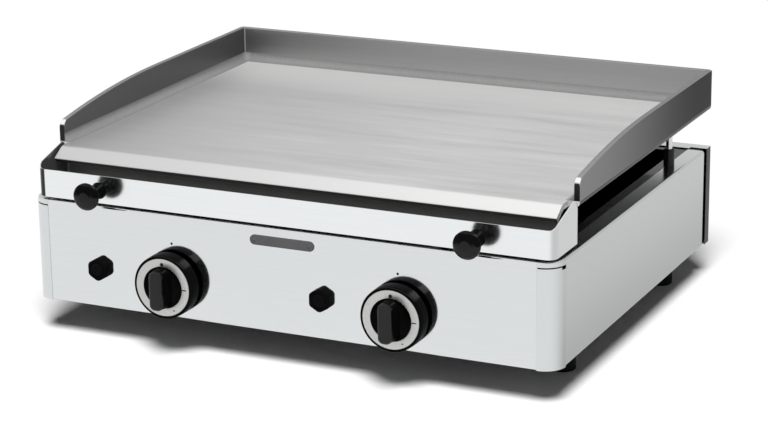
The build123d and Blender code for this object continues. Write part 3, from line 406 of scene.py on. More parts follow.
@dataclass(frozen=True)
class BrushedSteel(Finish):
    """Stainless sheet: fine streaks in colour, roughness and height, under faint wipe marks.

    Args:
        dark: colour at the bottom of the streaks.
        light: colour at the top of the streaks.
        rough: mean roughness.
        spread: how far the streaks move the roughness.
        grain: brushing direction.
        relief: strength of the streaks' bump.
        metal: share of the bare metal's mirror; the rest is dull.
        rim: level of the mirror at grazing angles, 1 for clean metal.
    """

    dark: Colour = grey(0.60)
    light: Colour = (0.70, 0.70, 0.695)
    rough: float = 0.2
    spread: float = 0.08
    grain: Grain = Grain.LEVEL
    relief: float = 0.05
    metal: float = 1.0
    rim: float = 1.0

    def draw(self, graph: Graph) -> None:
        """Mixes long and short streaks with soft wipe marks."""
        x, y, z = self.grain.value
        long = graph.noise((x, y, z), 5.0, 0.6)
        short = graph.noise((x * 5, y * 0.5, z * 0.5), 3.0, 0.5, 7.0)
        streak = 0.6 * long + 0.4 * short
        wipe = graph.noise((7.0, 7.0, 7.0), 3.0, 0.5, 3.0)
        tone = streak.step(0.3, 0.7) * 0.8 + wipe.step(0.3, 0.7) * 0.2
        rough = self.rough + self.spread * (streak - 0.5) + 0.1 * self.rough * wipe
        normal = graph.bump(streak, self.relief, 0.0002)
        base = self.shaded(graph, graph.blend(tone, self.dark, self.light))
        graph.surface(base, rough, self.mirror(graph), normal, {"Specular Tint": (*grey(self.rim), 1.0)})

    def mirror(self, graph: Graph) -> Any:
        """Gives the share of the metal's mirror, the same all over on a plain sheet."""
        return self.metal

    def shaded(self, graph: Graph, base: Field) -> Field:
        """Gives the sheet's colour from place to place; a plain sheet is the same all over."""
        return base


@dataclass(frozen=True)
class PlateSteel(BrushedSteel):
    """The cooking plate's steel: long strokes, with painted light and shade: a painted reflection on the lip
    that brightens to the right and on the back, and painted shade to the left, underneath and on the side
    faces.

    Args:
        scoured: colour of the bright strokes.
        burnt: colour of the dark strokes.
        left: painted shade, the colour that the plate falls to at its left.
        rear: painted reflection, the colour that it rises to at its back.
        lip_left_reflection: painted reflection, the colour of the lip at its left end.
        lip_right_reflection: painted reflection, the colour of the lip at its right end.
        painted_shade: painted shade, the colour of the underside and of the block's side faces.
        tongue: distances from the middle, in metres, between which side faces turn from the lip's painted
            reflection to the painted shade.
    """

    scoured: Colour = grey(0.70)
    burnt: Colour = grey(0.30)
    left: Colour = grey(0.34)
    rear: Colour = (0.70, 0.70, 0.695)
    lip_left_reflection: Colour = grey(0.52)
    lip_right_reflection: Colour = (0.77, 0.77, 0.765)
    painted_shade: Colour = grey(0.02)
    tongue: tuple[float, float] = (0.289, 0.295)

    def shaded(self, graph: Graph, base: Field) -> Field:
        """Paints a reflection on the faces that lean to the front, paints shade on those that look sideways
        or down and towards the left, and paints a brighter reflection towards the back.
        """
        ahead, above = graph.facing("Y"), graph.facing("Z")
        x, y = graph.height("X"), graph.height("Y")
        stroke = graph.noise((6.0, 50.0, 6.0), 4.0, 0.6, 11.0)
        base = graph.blend(0.35 * stroke.step(0.45, 0.75), base, self.scoured)
        base = graph.blend(0.35 * (1 - stroke.step(0.25, 0.5)), base, self.burnt)
        # painted shade: darker towards the left
        base = graph.blend(x.step(-0.42, 0.15), self.left, base)
        # painted reflection: brighter towards the back
        base = graph.blend(y.step(0.10, 0.24), base, self.rear)
        # painted reflection on the lip, brighter towards the right
        lip = graph.blend(x.step(-0.36, 0.36), self.lip_left_reflection, self.lip_right_reflection)
        base = graph.blend(1 - ahead.step(-0.4, -0.1), base, lip)
        near, far = self.tongue
        # painted shade on the side faces away from the middle
        side = graph.blend((x * x).step(near ** 2, far ** 2), lip, self.painted_shade)
        base = graph.blend(graph.sideways(0.2, 0.5), base, side)
        # painted shade on the underside
        return graph.blend(above.step(-0.5, -0.2), self.painted_shade, base)


@dataclass(frozen=True)
class FlankSteel(BrushedSteel):
    """A side panel's steel, set darker than the front as painted shade, with more painted shade towards the
    floor and a painted reflection where it bends to the front.

    Args:
        low: painted shade, the colour at the bottom of the side.
        bend: painted reflection, the colour of the bend.
    """

    low: Colour = (0.28, 0.285, 0.285)
    bend: Colour = (0.66, 0.68, 0.685)

    def shaded(self, graph: Graph, base: Field) -> Field:
        """Blends in the painted shade by height, then the painted reflection by how far the surface looks to
        the front.
        """
        base = graph.blend(graph.height("Z").step(0.0, 0.15), self.low, base)
        return graph.blend(graph.facing("Y").step(-0.9, 0.0), self.bend, base)


@dataclass(frozen=True)
class EdgedSteel(BrushedSteel):
    """Sheet with painted shade on its narrow faces that look sideways.

    Args:
        edge: painted shade, the colour of those faces.
    """

    edge: Colour = grey(0.03)

    def shaded(self, graph: Graph, base: Field) -> Field:
        """Blends in the painted shade by how far the surface looks sideways."""
        return graph.blend(graph.sideways(0.3, 0.6), base, self.edge)


@dataclass(frozen=True)
class GuardSteel(BrushedSteel):
    """The guard's dull steel, with a painted reflection of the plate that leaves it lighter low down and
    darker towards the top, painted shade on its sides and front ends, and painted highlights on its rounded
    tips.

    Args:
        front: front end in metres.
        high: darker colour towards the top, above the painted reflection of the plate.
        left: painted shade, the colour of the left side.
        right_front: painted shade, the colour of the right side at its front end.
        right_rear: deeper painted shade, the colour of the right side at its back end.
        cut: painted shade, the colour of the front ends.
        tip: painted highlight, the colour of the rounded tips.
    """

    front: float = -0.164
    high: Colour = grey(0.27)
    left: Colour = grey(0.18)
    right_front: Colour = grey(0.27)
    right_rear: Colour = grey(0.055)
    cut: Colour = grey(0.025)
    tip: Colour = grey(0.95)

    def shaded(self, graph: Graph, base: Field) -> Field:
        """Paints shade on the side faces from front to back and on the front ends, and paints highlights on
        the tips.
        """
        x, y, z = (graph.height(axis) for axis in "XYZ")
        ahead, above = graph.facing("Y"), graph.facing("Z")
        # painted reflection: lighter towards the plate, darker towards the top
        base = graph.blend(0.6 * z.step(0.18, 0.25), base, self.high)
        # painted shade on the sides, deepening towards the back on the right
        right = graph.blend(y.step(self.front, 0.22), self.right_front, self.right_rear)
        sides = graph.blend(x.step(-0.1, 0.1), self.left, right)
        base = graph.blend(graph.sideways(0.3, 0.6), base, sides)
        near = 1 - y.step(self.front + 0.008, self.front + 0.014)
        # painted shade on the front ends
        base = graph.blend(near * (1 - ahead.step(-0.98, -0.9)), base, self.cut)
        # painted highlight on the rounded tips
        lifted = above.step(0.2, 0.5) * (1 - ahead.step(-0.4, -0.25))
        return graph.blend(near * lifted, base, self.tip)


@dataclass(frozen=True)
class DrawerSteel(BrushedSteel):
    """The drawer's bright front, with its inside dulled; painted shade greys the inside and the right side,
    and a dark painted reflection fills its left bend.

    Args:
        half: half of the drawer's width in metres.
        centre: the drawer's middle in metres.
        front: its front face in metres.
        bend: radius of its front corners in metres.
        right: painted shade, the colour of the right side.
        painted_inside_shade: painted shade, the colour of the inside.
        shade: painted shade, the colour of the inside of its left wall.
        corner: painted reflection, the dark colour of the left bend.
    """

    half: float = 0.293
    centre: float = 0.003
    front: float = -0.2255
    bend: float = 0.010
    right: Colour = (0.54, 0.55, 0.55)
    painted_inside_shade: Colour = (0.34, 0.34, 0.335)
    shade: Colour = grey(0.12)
    corner: Colour = (0.035, 0.036, 0.036)

    def inside(self, graph: Graph) -> Field:
        """Gives 1 inside the sheet: where the rounded plan's hypot(beside, before) is well under its bend."""
        off = graph.add("ShaderNodeMath", {"operation": "ABSOLUTE"}, {0: graph.height("X") - self.centre})
        beside = (off - (self.half - self.bend)) | 0.0
        before = (self.front + self.bend - graph.height("Y")) | 0.0
        square = beside * beside + before * before
        away = graph.add("ShaderNodeMath", {"operation": "SQRT"}, {0: square})
        return 1 - away.step(self.bend - 0.0008, self.bend - 0.0004)

    def mirror(self, graph: Graph) -> Any:
        """Dulls the inside."""
        return 1 - 0.9 * self.inside(graph)

    def shaded(self, graph: Graph, base: Field) -> Field:
        """Paints shade on the inside and on the right-hand side, and a dark painted reflection in the left
        corner.
        """
        ahead, side, x = graph.facing("Y"), graph.facing("X"), graph.height("X")
        to_right = side.step(0.3, 0.8)
        # painted shade on the right-hand side
        base = graph.blend(to_right, base, self.right)
        # painted shade inside the drawer, deeper on the inside of its left wall
        base = graph.blend(self.inside(graph), base, graph.blend(to_right, self.painted_inside_shade, self.shade))
        # painted dark reflection in the left bend
        corner = (1 - side.step(-0.12, -0.03)) * (1 - ahead.step(-0.3, -0.15))
        return graph.blend(corner * (1 - x.step(-0.1, 0.1)), base, self.corner)


@dataclass(frozen=True)
class ZincSheet(Finish):
    """Galvanised sheet or plated screw: pale crystal patches with a dull sheen.

    Args:
        dark: colour of the dull patches.
        light: colour of the bright patches.
        patch: patches per metre.
    """

    dark: Colour = (0.15, 0.15, 0.155)
    light: Colour = (0.24, 0.24, 0.245)
    patch: float = 90.0

    def draw(self, graph: Graph) -> None:
        """Mixes cell patches with fine noise."""
        spot = graph.add("ShaderNodeTexCoord", out="Object")
        cells = graph.add("ShaderNodeTexVoronoi", None, {"Vector": spot, "Scale": self.patch}, out="Color")
        fine = graph.noise((900.0, 900.0, 900.0), 3.0)
        tone = 0.6 * graph.add("ShaderNodeRGBToBW", None, {0: cells}) + 0.4 * fine
        normal = graph.bump(fine, 0.08, 0.0002)
        graph.surface(graph.blend(tone, self.dark, self.light), 0.34 + 0.16 * tone, 1.0, normal)


@dataclass(frozen=True)
class BarMetal(Finish):
    """Turned or drawn metal such as brass, copper and aluminium, with fine tool marks.

    Args:
        dark: colour in the marks.
        light: colour on the bright skin.
        rough: mean roughness.
        marks: cycles per metre of the tool marks along X, Y and Z.
    """

    dark: Colour = (0.42, 0.27, 0.09)
    light: Colour = (0.72, 0.52, 0.24)
    rough: float = 0.28
    marks: Point = (60.0, 1500.0, 60.0)

    def draw(self, graph: Graph) -> None:
        """Mixes tool marks with soft tarnish."""
        marks = graph.noise(self.marks, 4.0, 0.6)
        tarnish = graph.noise((45.0, 45.0, 45.0), 4.0, 0.6, 5.0)
        tone = 0.5 * marks + 0.5 * tarnish.step(0.3, 0.65)
        rough = self.rough + 0.12 * (marks - 0.5) + 0.1 * (1 - tarnish)
        graph.surface(graph.blend(tone, self.dark, self.light), rough, 1.0, graph.bump(marks, 0.06, 0.0002))


@dataclass(frozen=True)
class HotSteel(Finish):
    """Burner steel with straw and blue heat tints towards its top, where the flames stand.

    Args:
        cool: height in metres below which the steel keeps its own colour.
        hot: height in metres above which it is fully tinted.
    """

    cool: float = 0.111
    hot: float = 0.156

    def draw(self, graph: Graph) -> None:
        """Blends steel, straw and blue by height and cloudy noise."""
        cloud = graph.noise((30.0, 12.0, 30.0), 4.0, 0.6)
        fine = graph.noise((900.0, 40.0, 900.0), 3.0, 0.6, 2.0)
        heat = graph.height("Z").step(self.cool, self.hot) * 0.75 + 0.5 * (cloud - 0.5)
        straw = graph.blend(heat.step(0.05, 0.55), grey(0.46), (0.44, 0.33, 0.19))
        tint = graph.blend(heat.step(0.5, 0.95), straw, (0.16, 0.17, 0.24))
        graph.surface(tint, 0.30 + 0.2 * fine, 1.0, graph.bump(fine, 0.08, 0.0002))


@dataclass(frozen=True)
class Moulded(Finish):
    """Moulded plastic, rubber, paint or enamel: fine skin texture over a slightly uneven colour.

    Args:
        dark: colour in the texture's hollows.
        light: colour on its tops.
        rough: mean roughness.
        texture: cycles per metre of the skin texture.
        relief: strength of the texture's bump.
        gloss: weight of a clear coat.
        shine: level of the surface's own mirror, 0.5 for plain plastic.
    """

    dark: Colour = grey(0.002)
    light: Colour = (0.005, 0.005, 0.0052)
    rough: float = 0.36
    texture: float = 1600.0
    relief: float = 0.06
    gloss: float = 0.0
    shine: float = 0.01

    def draw(self, graph: Graph) -> None:
        """Mixes the skin texture with broad uneven patches."""
        skin = graph.noise((self.texture,) * 3, 3.0, 0.55)
        patch = graph.noise((38.0, 38.0, 38.0), 4.0, 0.55, 4.0)
        tone = 0.5 * skin + 0.5 * patch.step(0.3, 0.7)
        rough = self.rough + 0.12 * (patch - 0.5) + 0.08 * (skin - 0.5)
        fixed = {"Specular IOR Level": self.shine, "Coat Weight": self.coat(graph), "Coat Roughness": 0.08}
        normal = graph.bump(skin, self.relief, 0.0002)
        graph.surface(graph.blend(tone, self.dark, self.light), rough, 0.0, normal, fixed)

    def coat(self, graph: Graph) -> Any:
        """Gives the weight of the clear coat, the same all over on a plain moulding."""
        return self.gloss


@dataclass(frozen=True)
class PaintedSheen(Moulded):
    """Black plastic with a painted sheen: a clear coat laid on its foremost face as a painted reflection, and
    in a streak along its top as a painted highlight.

    Args:
        ahead: distance in front of the middle, in metres, from which a face carries the painted reflection.
        below: part of the normal along Z up to which the painted reflection reaches.
    """

    ahead: float = 0.2575
    below: float = 1.0

    def coat(self, graph: Graph) -> Any:
        """Coats the foremost face, up to a slope, as a painted reflection, and a narrow band of slopes near
        the top as a painted highlight.
        """
        slope = graph.facing("Z")
        # painted reflection on the foremost face
        face = 1 - graph.height("Y").step(-self.ahead - 0.001, -self.ahead)
        face = face * (1 - slope.step(self.below - 0.06, self.below + 0.06))
        # painted highlight: a band of slopes near the top
        streak = slope.step(0.62, 0.72) * (1 - slope.step(0.80, 0.88))
        return self.gloss * (face | streak)


CASING = BrushedSteel("look_casing", (0.68, 0.70, 0.705), (0.71, 0.73, 0.735), 0.09, 0.03, Grain.LEVEL, 0.012)
REAR = EdgedSteel("look_rear", (0.665, 0.685, 0.69), (0.695, 0.715, 0.72), 0.16, 0.04, relief=0.015, rim=0.7)
# side panels: darker than the front panel's steel, as painted shade
FLANK = FlankSteel("look_flank", (0.43, 0.44, 0.44), (0.46, 0.47, 0.47), 0.2, 0.05, Grain.LEVEL, 0.02)
DRAWER = DrawerSteel("look_drawer", (0.79, 0.81, 0.815), (0.83, 0.85, 0.855), 0.15, 0.03, Grain.LEVEL, 0.015)
PLATE = PlateSteel("look_plate", grey(0.46), (0.54, 0.54, 0.537), 0.42, 0.12, Grain.ACROSS, 0.08, 0.3)
GUARD = GuardSteel("look_guard", grey(0.40), (0.45, 0.45, 0.448), 0.32, 0.1, Grain.LEVEL, 0.05, 1.0, 0.5)
WELD = BrushedSteel("look_weld", grey(0.25), (0.32, 0.32, 0.318), 0.5, 0.1, Grain.NONE, 0.05, 0.3)
LEG = BrushedSteel("look_leg", grey(0.58), grey(0.68), 0.25, 0.1, Grain.LEVEL, 0.05)
DIAL = BrushedSteel("look_dial", (0.48, 0.485, 0.47), (0.58, 0.585, 0.57), 0.38, 0.12, Grain.NONE, 0.12)
ZINC = ZincSheet("look_zinc")
SCREW = ZincSheet("look_screw", grey(0.44), (0.60, 0.60, 0.59), 420.0)
# painted shade: a near-black finish for parts that sit in shade, the shelf guides in the drawer gap and the
# screws under the pan
SHADED_METAL = ZincSheet("look_shaded_metal", grey(0.02), grey(0.05), 420.0)
BURNER = HotSteel("look_burner")
BRASS = BarMetal("look_brass")
COPPER = BarMetal("look_copper", (0.38, 0.17, 0.09), (0.70, 0.38, 0.24), 0.3, (700.0, 60.0, 700.0))
PIPE = BarMetal("look_pipe", (0.52, 0.53, 0.54), (0.68, 0.69, 0.70), 0.32, (700.0, 60.0, 700.0))
CERAMIC = Moulded("look_ceramic", (0.70, 0.69, 0.66), (0.80, 0.79, 0.76), 0.28, 700.0, 0.03, 0.5)
ENAMEL = Moulded("look_enamel", grey(0.010), grey(0.018), 0.30, 260.0, 0.05, 0.4)
PLASTIC = Moulded("look_plastic")
GRIP = PaintedSheen("look_grip", gloss=0.6)
PULL = PaintedSheen("look_pull", gloss=0.5, ahead=0.249, below=0.03)
BUTTON = Moulded("look_button", grey(0.003), grey(0.006), 0.26, 1300.0, 0.03)
RUBBER = Moulded("look_rubber", grey(0.010), grey(0.022), 0.72, 900.0, 0.12)
LEAD = Moulded("look_lead", (0.35, 0.02, 0.015), (0.48, 0.035, 0.025), 0.5, 900.0, 0.05)
BADGE = Moulded("look_badge", (0.085, 0.086, 0.087), (0.112, 0.113, 0.114), 0.42, 1400.0, 0.06)
INK = Moulded("look_ink", grey(0.008), grey(0.014), 0.5, 1200.0, 0.03)


class Form:
    """Grids of points that make up one piece."""

    def __init__(self) -> None:
        """Starts with no points."""
        self.points: list[np.ndarray] = []
        self.faces: list[np.ndarray] = []
        self.count = 0

    def ring(self, grid: np.ndarray) -> "Form":
        """Adds quads over a grid whose last column meets its first.

        Args:
            grid: points, shape (rows, columns, 3).

        Returns:
            This form.
        """
        rows, columns = grid.shape[:2]
        here = np.arange(rows * columns).reshape(rows, columns) + self.count
        beside = np.roll(here, -1, axis=1)
        quads = np.stack([here[:-1], beside[:-1], beside[1:], here[1:]], axis=-1)
        self.points.append(grid.reshape(-1, 3))
        self.faces.append(quads.reshape(-1, 4))
        self.count += rows * columns
        return self

    def piece(self, name: str, body: str, slot: str, finish: Finish, stands_for: Sequence[str] = (),
              sharp: float = 35.0) -> bpy.types.Object:
        """Makes the piece: merges seams and poles, turns faces outwards, shades it and hangs it on its body.

        Args:
            name: the piece's name.
            body: CAD body that carries it.
            slot: material slot of the record; not used.
            finish: its finish.
            stands_for: CAD nodes that it replaces.
            sharp: angle in degrees above which an edge stays sharp.

        Returns:
            The new object.
        """
        mesh = bpy.data.meshes.new(name)
        mesh.from_pydata(np.concatenate(self.points).tolist(), [], np.concatenate(self.faces).tolist())
        work = bmesh.new()
        work.from_mesh(mesh)
        bmesh.ops.remove_doubles(work, verts=work.verts, dist=2e-6)
        bmesh.ops.recalc_face_normals(work, faces=work.faces)
        work.to_mesh(mesh)
        work.free()
        mesh.shade_smooth()
        mesh.set_sharp_from_angle(angle=math.radians(sharp))
        mesh.materials.append(finish.material())
        made = bpy.data.objects.new(name, mesh)
        bpy.context.scene.collection.objects.link(made)
        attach(made, body)
        if stands_for:
            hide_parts(*stands_for)
        LOG.info("%s: %d faces on %s", name, len(mesh.polygons), body)
        return made


@dataclass
class Knob:
    """A control knob: skirted cap with a dished floor and a grip bar, and a dial ring let into its face.

    Heights are measured from the control panel.
    """

    side: str
    skirt_r: float = 34.3
    wall: float = 3.0
    rear: float = 4.5
    face: float = 20.0
    floor: float = 17.0
    web: float = 13.5
    ring_in: float = 22.5
    ring_out: float = 31.0
    ring_floor: float = 18.8
    ring_face: float = 20.2
    hub_r: float = 9.0
    hub_rear: float = 6.4
    bore_r: float = 4.1
    grip_w: float = 17.0
    grip_h: float = 44.0
    grip_front: float = 37.0
    grip_edge: float = 3.0
    grip_end: float = 7.0
    grip_draft: float = 3.0
    scoop: float = 2.2
    scoop_x: float = 13.5
    scoop_w: float = 8.0
    scoop_h: float = 16.5
    fit: float = 0.1
    line_drop: float = 2.6
    tick_l: float = 5.2
    tick_w: float = 1.1
    tick_in: float = 2.9
    dots: tuple[Point, ...] = ((0.0, 24.9, 2.0), (152.0, 26.8, 0.9))

    def place(self) -> Place:
        """Gives the knob's place on the panel."""
        return front_place(f"{self.side}_knob_ring")

    def hollow(self, u: np.ndarray, v: np.ndarray) -> np.ndarray:
        """Gives the finger hollows' depth: an ellipse beside each flank of the grip, deepest in its middle.

        Args:
            u: distances to the right of the axis.
            v: distances above the axis.

        Returns:
            Depths: scoop * (1 - ellipse) to the power 0.7, and 0 outside the ellipse.
        """
        ellipse = ((np.abs(u) - self.scoop_x) / self.scoop_w) ** 2 + (v / self.scoop_h) ** 2
        return self.scoop * np.clip(1 - ellipse, 0, 1) ** 0.7

    def cap(self) -> None:
        """Turns the cap's closed profile, with the hollows sunk into its floor, and stands the grip on it."""
        seat = [(r, self.floor, 0.0) for r in np.linspace(0, self.ring_in - 1.6, 26)]
        line, rim, root = self.face - self.line_drop, self.skirt_r, self.web + 1.5
        inner, outer = self.ring_in - self.fit, self.ring_out + self.fit
        profile = rounded([
            *seat, (inner, self.floor, 1.2), (inner, self.ring_floor, 0.0),
            (outer, self.ring_floor, 0.0), (outer, self.face, 0.3), (rim - 0.5, self.face, 1.3),
            (rim - 0.4, line, 0.0), (rim - 0.8, line - 0.3, 0.0), (rim - 0.8, line - 0.8, 0.0),
            (rim - 0.3, line - 1.1, 0.0), (rim, self.rear, 0.9), (rim - self.wall, self.rear, 0.6),
            (rim - self.wall, self.web, 1.0), (self.hub_r, self.web, 1.0), (self.hub_r, self.hub_rear, 0.5),
            (self.bore_r, self.hub_rear, 0.3), (self.bore_r, root, 0.0), (0.0, root, 0.0)])
        on_floor = (np.arange(len(profile)) < len(seat))[:, None]
        body = turned(profile, self.place(), 144, lambda u, v: np.where(on_floor, self.hollow(u, v), 0.0))
        outline = rounded(corners_of(self.grip_w / 2, self.grip_h / 2, self.grip_end), True, 10)
        draft = (self.grip_front - self.floor) * math.tan(math.radians(self.grip_draft))
        layers = lidded(self.web + 1.0, self.grip_front, self.grip_edge, draft)
        Form().ring(body).ring(walled(outline, layers, self.place())).piece(
            f"{self.side}_knob_cap", f"{self.side}_dial", "black_plastic", GRIP, [f"{self.side}_knob"])

    def dial(self) -> None:
        """Turns the flat dial ring, a closed rectangle with eased edges."""
        inner, outer = self.ring_in, self.ring_out - self.fit
        low, high = self.ring_floor, self.ring_face
        profile = rounded([(inner, low, 0.0), (inner, high, 0.3), (outer, high, 0.3), (outer, low, 0.0),
                           (inner, low, 0.0)], False, 3)
        Form().ring(turned(profile, self.place(), 144)).piece(
            f"{self.side}_dial_ring", f"{self.side}_dial", "dial_metal", DIAL, [f"{self.side}_knob_ring"])

    def marks(self) -> None:
        """Prints the dial: a dot at the top for off, a small dot and a tick on the way to full."""
        place, face = self.place(), self.ring_face
        form = Form()
        for degrees, radius, size in self.dots:
            turn = math.radians(degrees)
            form.ring(printed_dot(place.moved(radius * math.sin(turn), radius * math.cos(turn)), size, face))
        tick = rounded(corners_of(self.tick_l / 2, self.tick_w / 2, 0.5), True, 4)
        layers = slab(face - PRINT_SUNK, face + PRINT_PROUD)
        form.ring(walled(tick, layers, place.moved(self.ring_in + self.tick_in, 0.0)))
        form.piece(f"{self.side}_dial_marks", f"{self.side}_dial", "black_plastic", INK)

    def build(self) -> None:
        """Builds the knob's pieces."""
        self.cap()
        self.dial()
        self.marks()


@dataclass
class Igniter:
    """A push igniter's six-sided ring nut and its button."""

    side: str
    across: float = 22.6
    corner_r: float = 5.0
    bore_r: float = 9.0
    height: float = 8.0
    edge: float = 1.6
    button_r: float = 7.0

    def outline(self, angle: np.ndarray) -> np.ndarray:
        """Gives the nut's radius: a hexagon's flat, or the round corner's circle where a ray meets it.

        Args:
            angle: angles in radians from the right; the nut's corners point up and down.

        Returns:
            Radii in millimetres.
        """
        step = math.pi / 3
        off = (angle - math.pi / 6 + step / 2) % step - step / 2
        flat = self.across / 2 / np.cos(step / 2 - np.abs(off))
        centre = (self.across / 2 - self.corner_r) / math.cos(step / 2)
        reach = step / 2 - math.atan(2 * centre * math.sin(step / 2) / self.across)
        inside = np.clip(self.corner_r ** 2 - (centre * np.sin(off)) ** 2, 0, None)
        return np.where(np.abs(off) < reach, centre * np.cos(off) + np.sqrt(inside), flat)

    def nut(self) -> None:
        """Carries the six-sided outline from the panel up to a rounded rim and down the bore."""
        angle = np.linspace(0, 2 * math.pi, 180, endpoint=False)
        rim, bore = self.outline(angle), np.full_like(angle, self.bore_r)
        edge = eased(self.edge, 7)
        radii = np.array([rim, *(rim - inset for inset, _ in edge), bore + 0.5, bore, bore, rim])
        levels = [0.0, *(self.height - drop for _, drop in edge), self.height, self.height - 0.5, 0.0, 0.0]
        place = front_place(f"{self.side}_igniter_nut")
        grid = place.at(radii * np.cos(angle), radii * np.sin(angle), np.array(levels)[:, None])
        Form().ring(grid).piece(
            f"{self.side}_igniter_collar", "casing", "black_plastic", PLASTIC, [f"{self.side}_igniter_nut"])

    def button(self) -> None:
        """Turns the button with a domed, slightly dished nose."""
        node = f"{self.side}_igniter_button"
        place = front_place(node)
        low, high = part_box(node)
        nose = (place.origin[1] - low[1]) / MM
        tail = (place.origin[1] - high[1]) / MM
        r = self.button_r
        profile = rounded([(0.0, nose - 0.5, 0.0), (3.4, nose - 0.3, 4.0), (r - 1.2, nose, 0.8),
                           (r, nose - 1.2, 0.9), (r, tail, 0.3), (0.0, tail, 0.0)])
        Form().ring(turned(profile, place, 72)).piece(
            f"{self.side}_igniter_cap", f"{self.side}_button", "black_plastic", BUTTON, [node])

    def build(self) -> None:
        """Builds the igniter's pieces."""
        self.nut()
        self.button()


@dataclass
class Pull:
    """A mushroom pull on the drawer: flared foot, waisted neck and domed head."""

    side: str
    head_r: float = 14.5
    head_t: float = 8.0
    neck_r: float = 6.0
    foot_r: float = 9.0
    length: float = 30.0

    def build(self) -> None:
        """Turns the pull's profile."""
        tip, rear = self.length, self.length - self.head_t
        profile = rounded([
            (0.0, tip, 0.0), (6.0, tip - 0.05, 8.0), (self.head_r - 3.0, tip - 0.9, 4.0),
            (self.head_r, tip - 3.6, 2.6), (self.head_r, rear + 0.6, 1.6),
            (self.neck_r + 2.2, rear - 2.0, 2.5), (self.neck_r, rear - 6.0, 4.0), (self.neck_r, 7.0, 6.0),
            (self.foot_r, 0.0, 0.0), (0.0, 0.0, 0.0)], False, 8)
        node = f"{self.side}_pull"
        Form().ring(turned(profile, front_place(node), 96)).piece(
            f"{self.side}_drawer_knob", "drawer", "black_plastic", PULL, [node])


@dataclass
class Badge:
    """The blank name plate with its two rivets, and the index dots printed above the knobs."""

    length: float = 73.0
    width: float = 10.5
    thick: float = 1.2
    edge: float = 0.45
    rivet_r: float = 1.8
    rivet_h: float = 0.8
    rivet_x: float = 31.0
    shank_r: float = 1.1
    shank: float = 2.5
    dot_r: float = 1.4
    dot_x: float = 129.0
    dot_z: float = 119.0

    def plate(self) -> None:
        """Raises the pill-shaped plate with a rounded edge."""
        outline = rounded(corners_of(self.length / 2, self.width / 2, self.width / 2 - 0.02), True, 12)
        layers = lidded(0.0, self.thick, self.edge)
        Form().ring(walled(outline, layers, front_place("name_plate"))).piece(
            "badge_plate", "casing", "badge_paint", BADGE, ["name_plate"])

    def rivets(self) -> None:
        """Turns two low domed rivet heads with their shanks."""
        base, foot = self.thick, -self.shank
        profile = rounded([(0.0, base + self.rivet_h, 0.0), (1.0, base + 0.72, 1.5),
                           (self.rivet_r, base + 0.1, 0.3), (self.rivet_r, base, 0.0),
                           (self.shank_r, base, 0.0), (self.shank_r, foot, 0.2), (0.0, foot, 0.0)])
        form = Form()
        for way in (-1, 1):
            form.ring(turned(profile, front_place("name_plate").moved(way * self.rivet_x, 0.0), 32))
        form.piece("badge_rivets", "casing", "screw_steel", BADGE, ["name_plate_rivets"])

    def dots(self) -> None:
        """Prints a thin dot on the panel above each knob."""
        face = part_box("front_panel")[0][1]
        form = Form()
        for way in (-1, 1):
            form.ring(printed_dot(Place((way * self.dot_x * MM, face, self.dot_z * MM), FRONT), self.dot_r))
        form.piece("index_dots", "casing", "black_plastic", INK)

    def build(self) -> None:
        """Builds the plate, rivets and dots."""
        self.plate()
        self.rivets()
        self.dots()


@dataclass
class Seams:
    """The side panels' folded edges, seen in the narrow seams beside the control panel."""

    inner: float = 277.2
    outer: float = 278.0
    sunk: float = 0.35
    depth: float = 0.9

    def build(self) -> None:
        """Sets a thin upright bar into each seam, just below the panel's face."""
        low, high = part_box("front_panel")
        level, half = (low[2] + high[2]) / 2, (high[2] - low[2]) / 2 / MM - 0.5
        wide = (self.outer - self.inner) / 2
        outline = rounded(corners_of(wide, half, 0.0), True)
        layers = slab(-self.sunk - self.depth, -self.sunk)
        form = Form()
        for way in (-1, 1):
            spot = (way * (self.inner + wide) * MM, low[1], level)
            form.ring(walled(outline, layers, Place(spot, FRONT)))
        form.piece("panel_seams", "casing", "casing_steel", CASING)


@dataclass
class Foot:
    """A tapered rubber foot with shallow grooves and a recess for its screw."""

    corner: str
    tip_r: float = 13.0
    top_r: float = 14.4
    height: float = 39.2
    recess_r: float = 6.3
    recess_h: float = 9.0
    bore_r: float = 3.1
    groove_d: float = 0.6
    grooves: tuple[float, ...] = (9.0, 16.0, 23.0, 30.0)

    def build(self) -> None:
        """Turns the foot's closed profile, with each groove a small notch in the tapered wall."""
        node = f"{self.corner}_foot"
        x, y, _ = middle(node)
        wall: list[Point] = []
        for level in self.grooves:
            r = self.tip_r + (self.top_r - self.tip_r) * level / self.height
            deep = r - self.groove_d
            wall += [(r, level - 0.8, 0.3), (deep, level - 0.4, 0.2)]
            wall += [(deep, level + 0.4, 0.2), (r, level + 0.8, 0.3)]
        recess, bore, top = self.recess_r, self.bore_r, self.height
        profile = rounded([
            (recess, 0.0, 0.0), (self.tip_r, 0.0, 1.6), *wall, (self.top_r, top, 0.4), (bore, top, 0.0),
            (bore, self.recess_h, 0.0), (recess, self.recess_h, 0.5), (recess, 0.0, 0.0)], False, 4)
        place = Place((x, y, float(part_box(node)[0][2])), SKY, REARWARD)
        Form().ring(turned(profile, place, 72)).piece(
            f"{self.corner}_foot_rubber", "casing", "foot_rubber", RUBBER, [node])


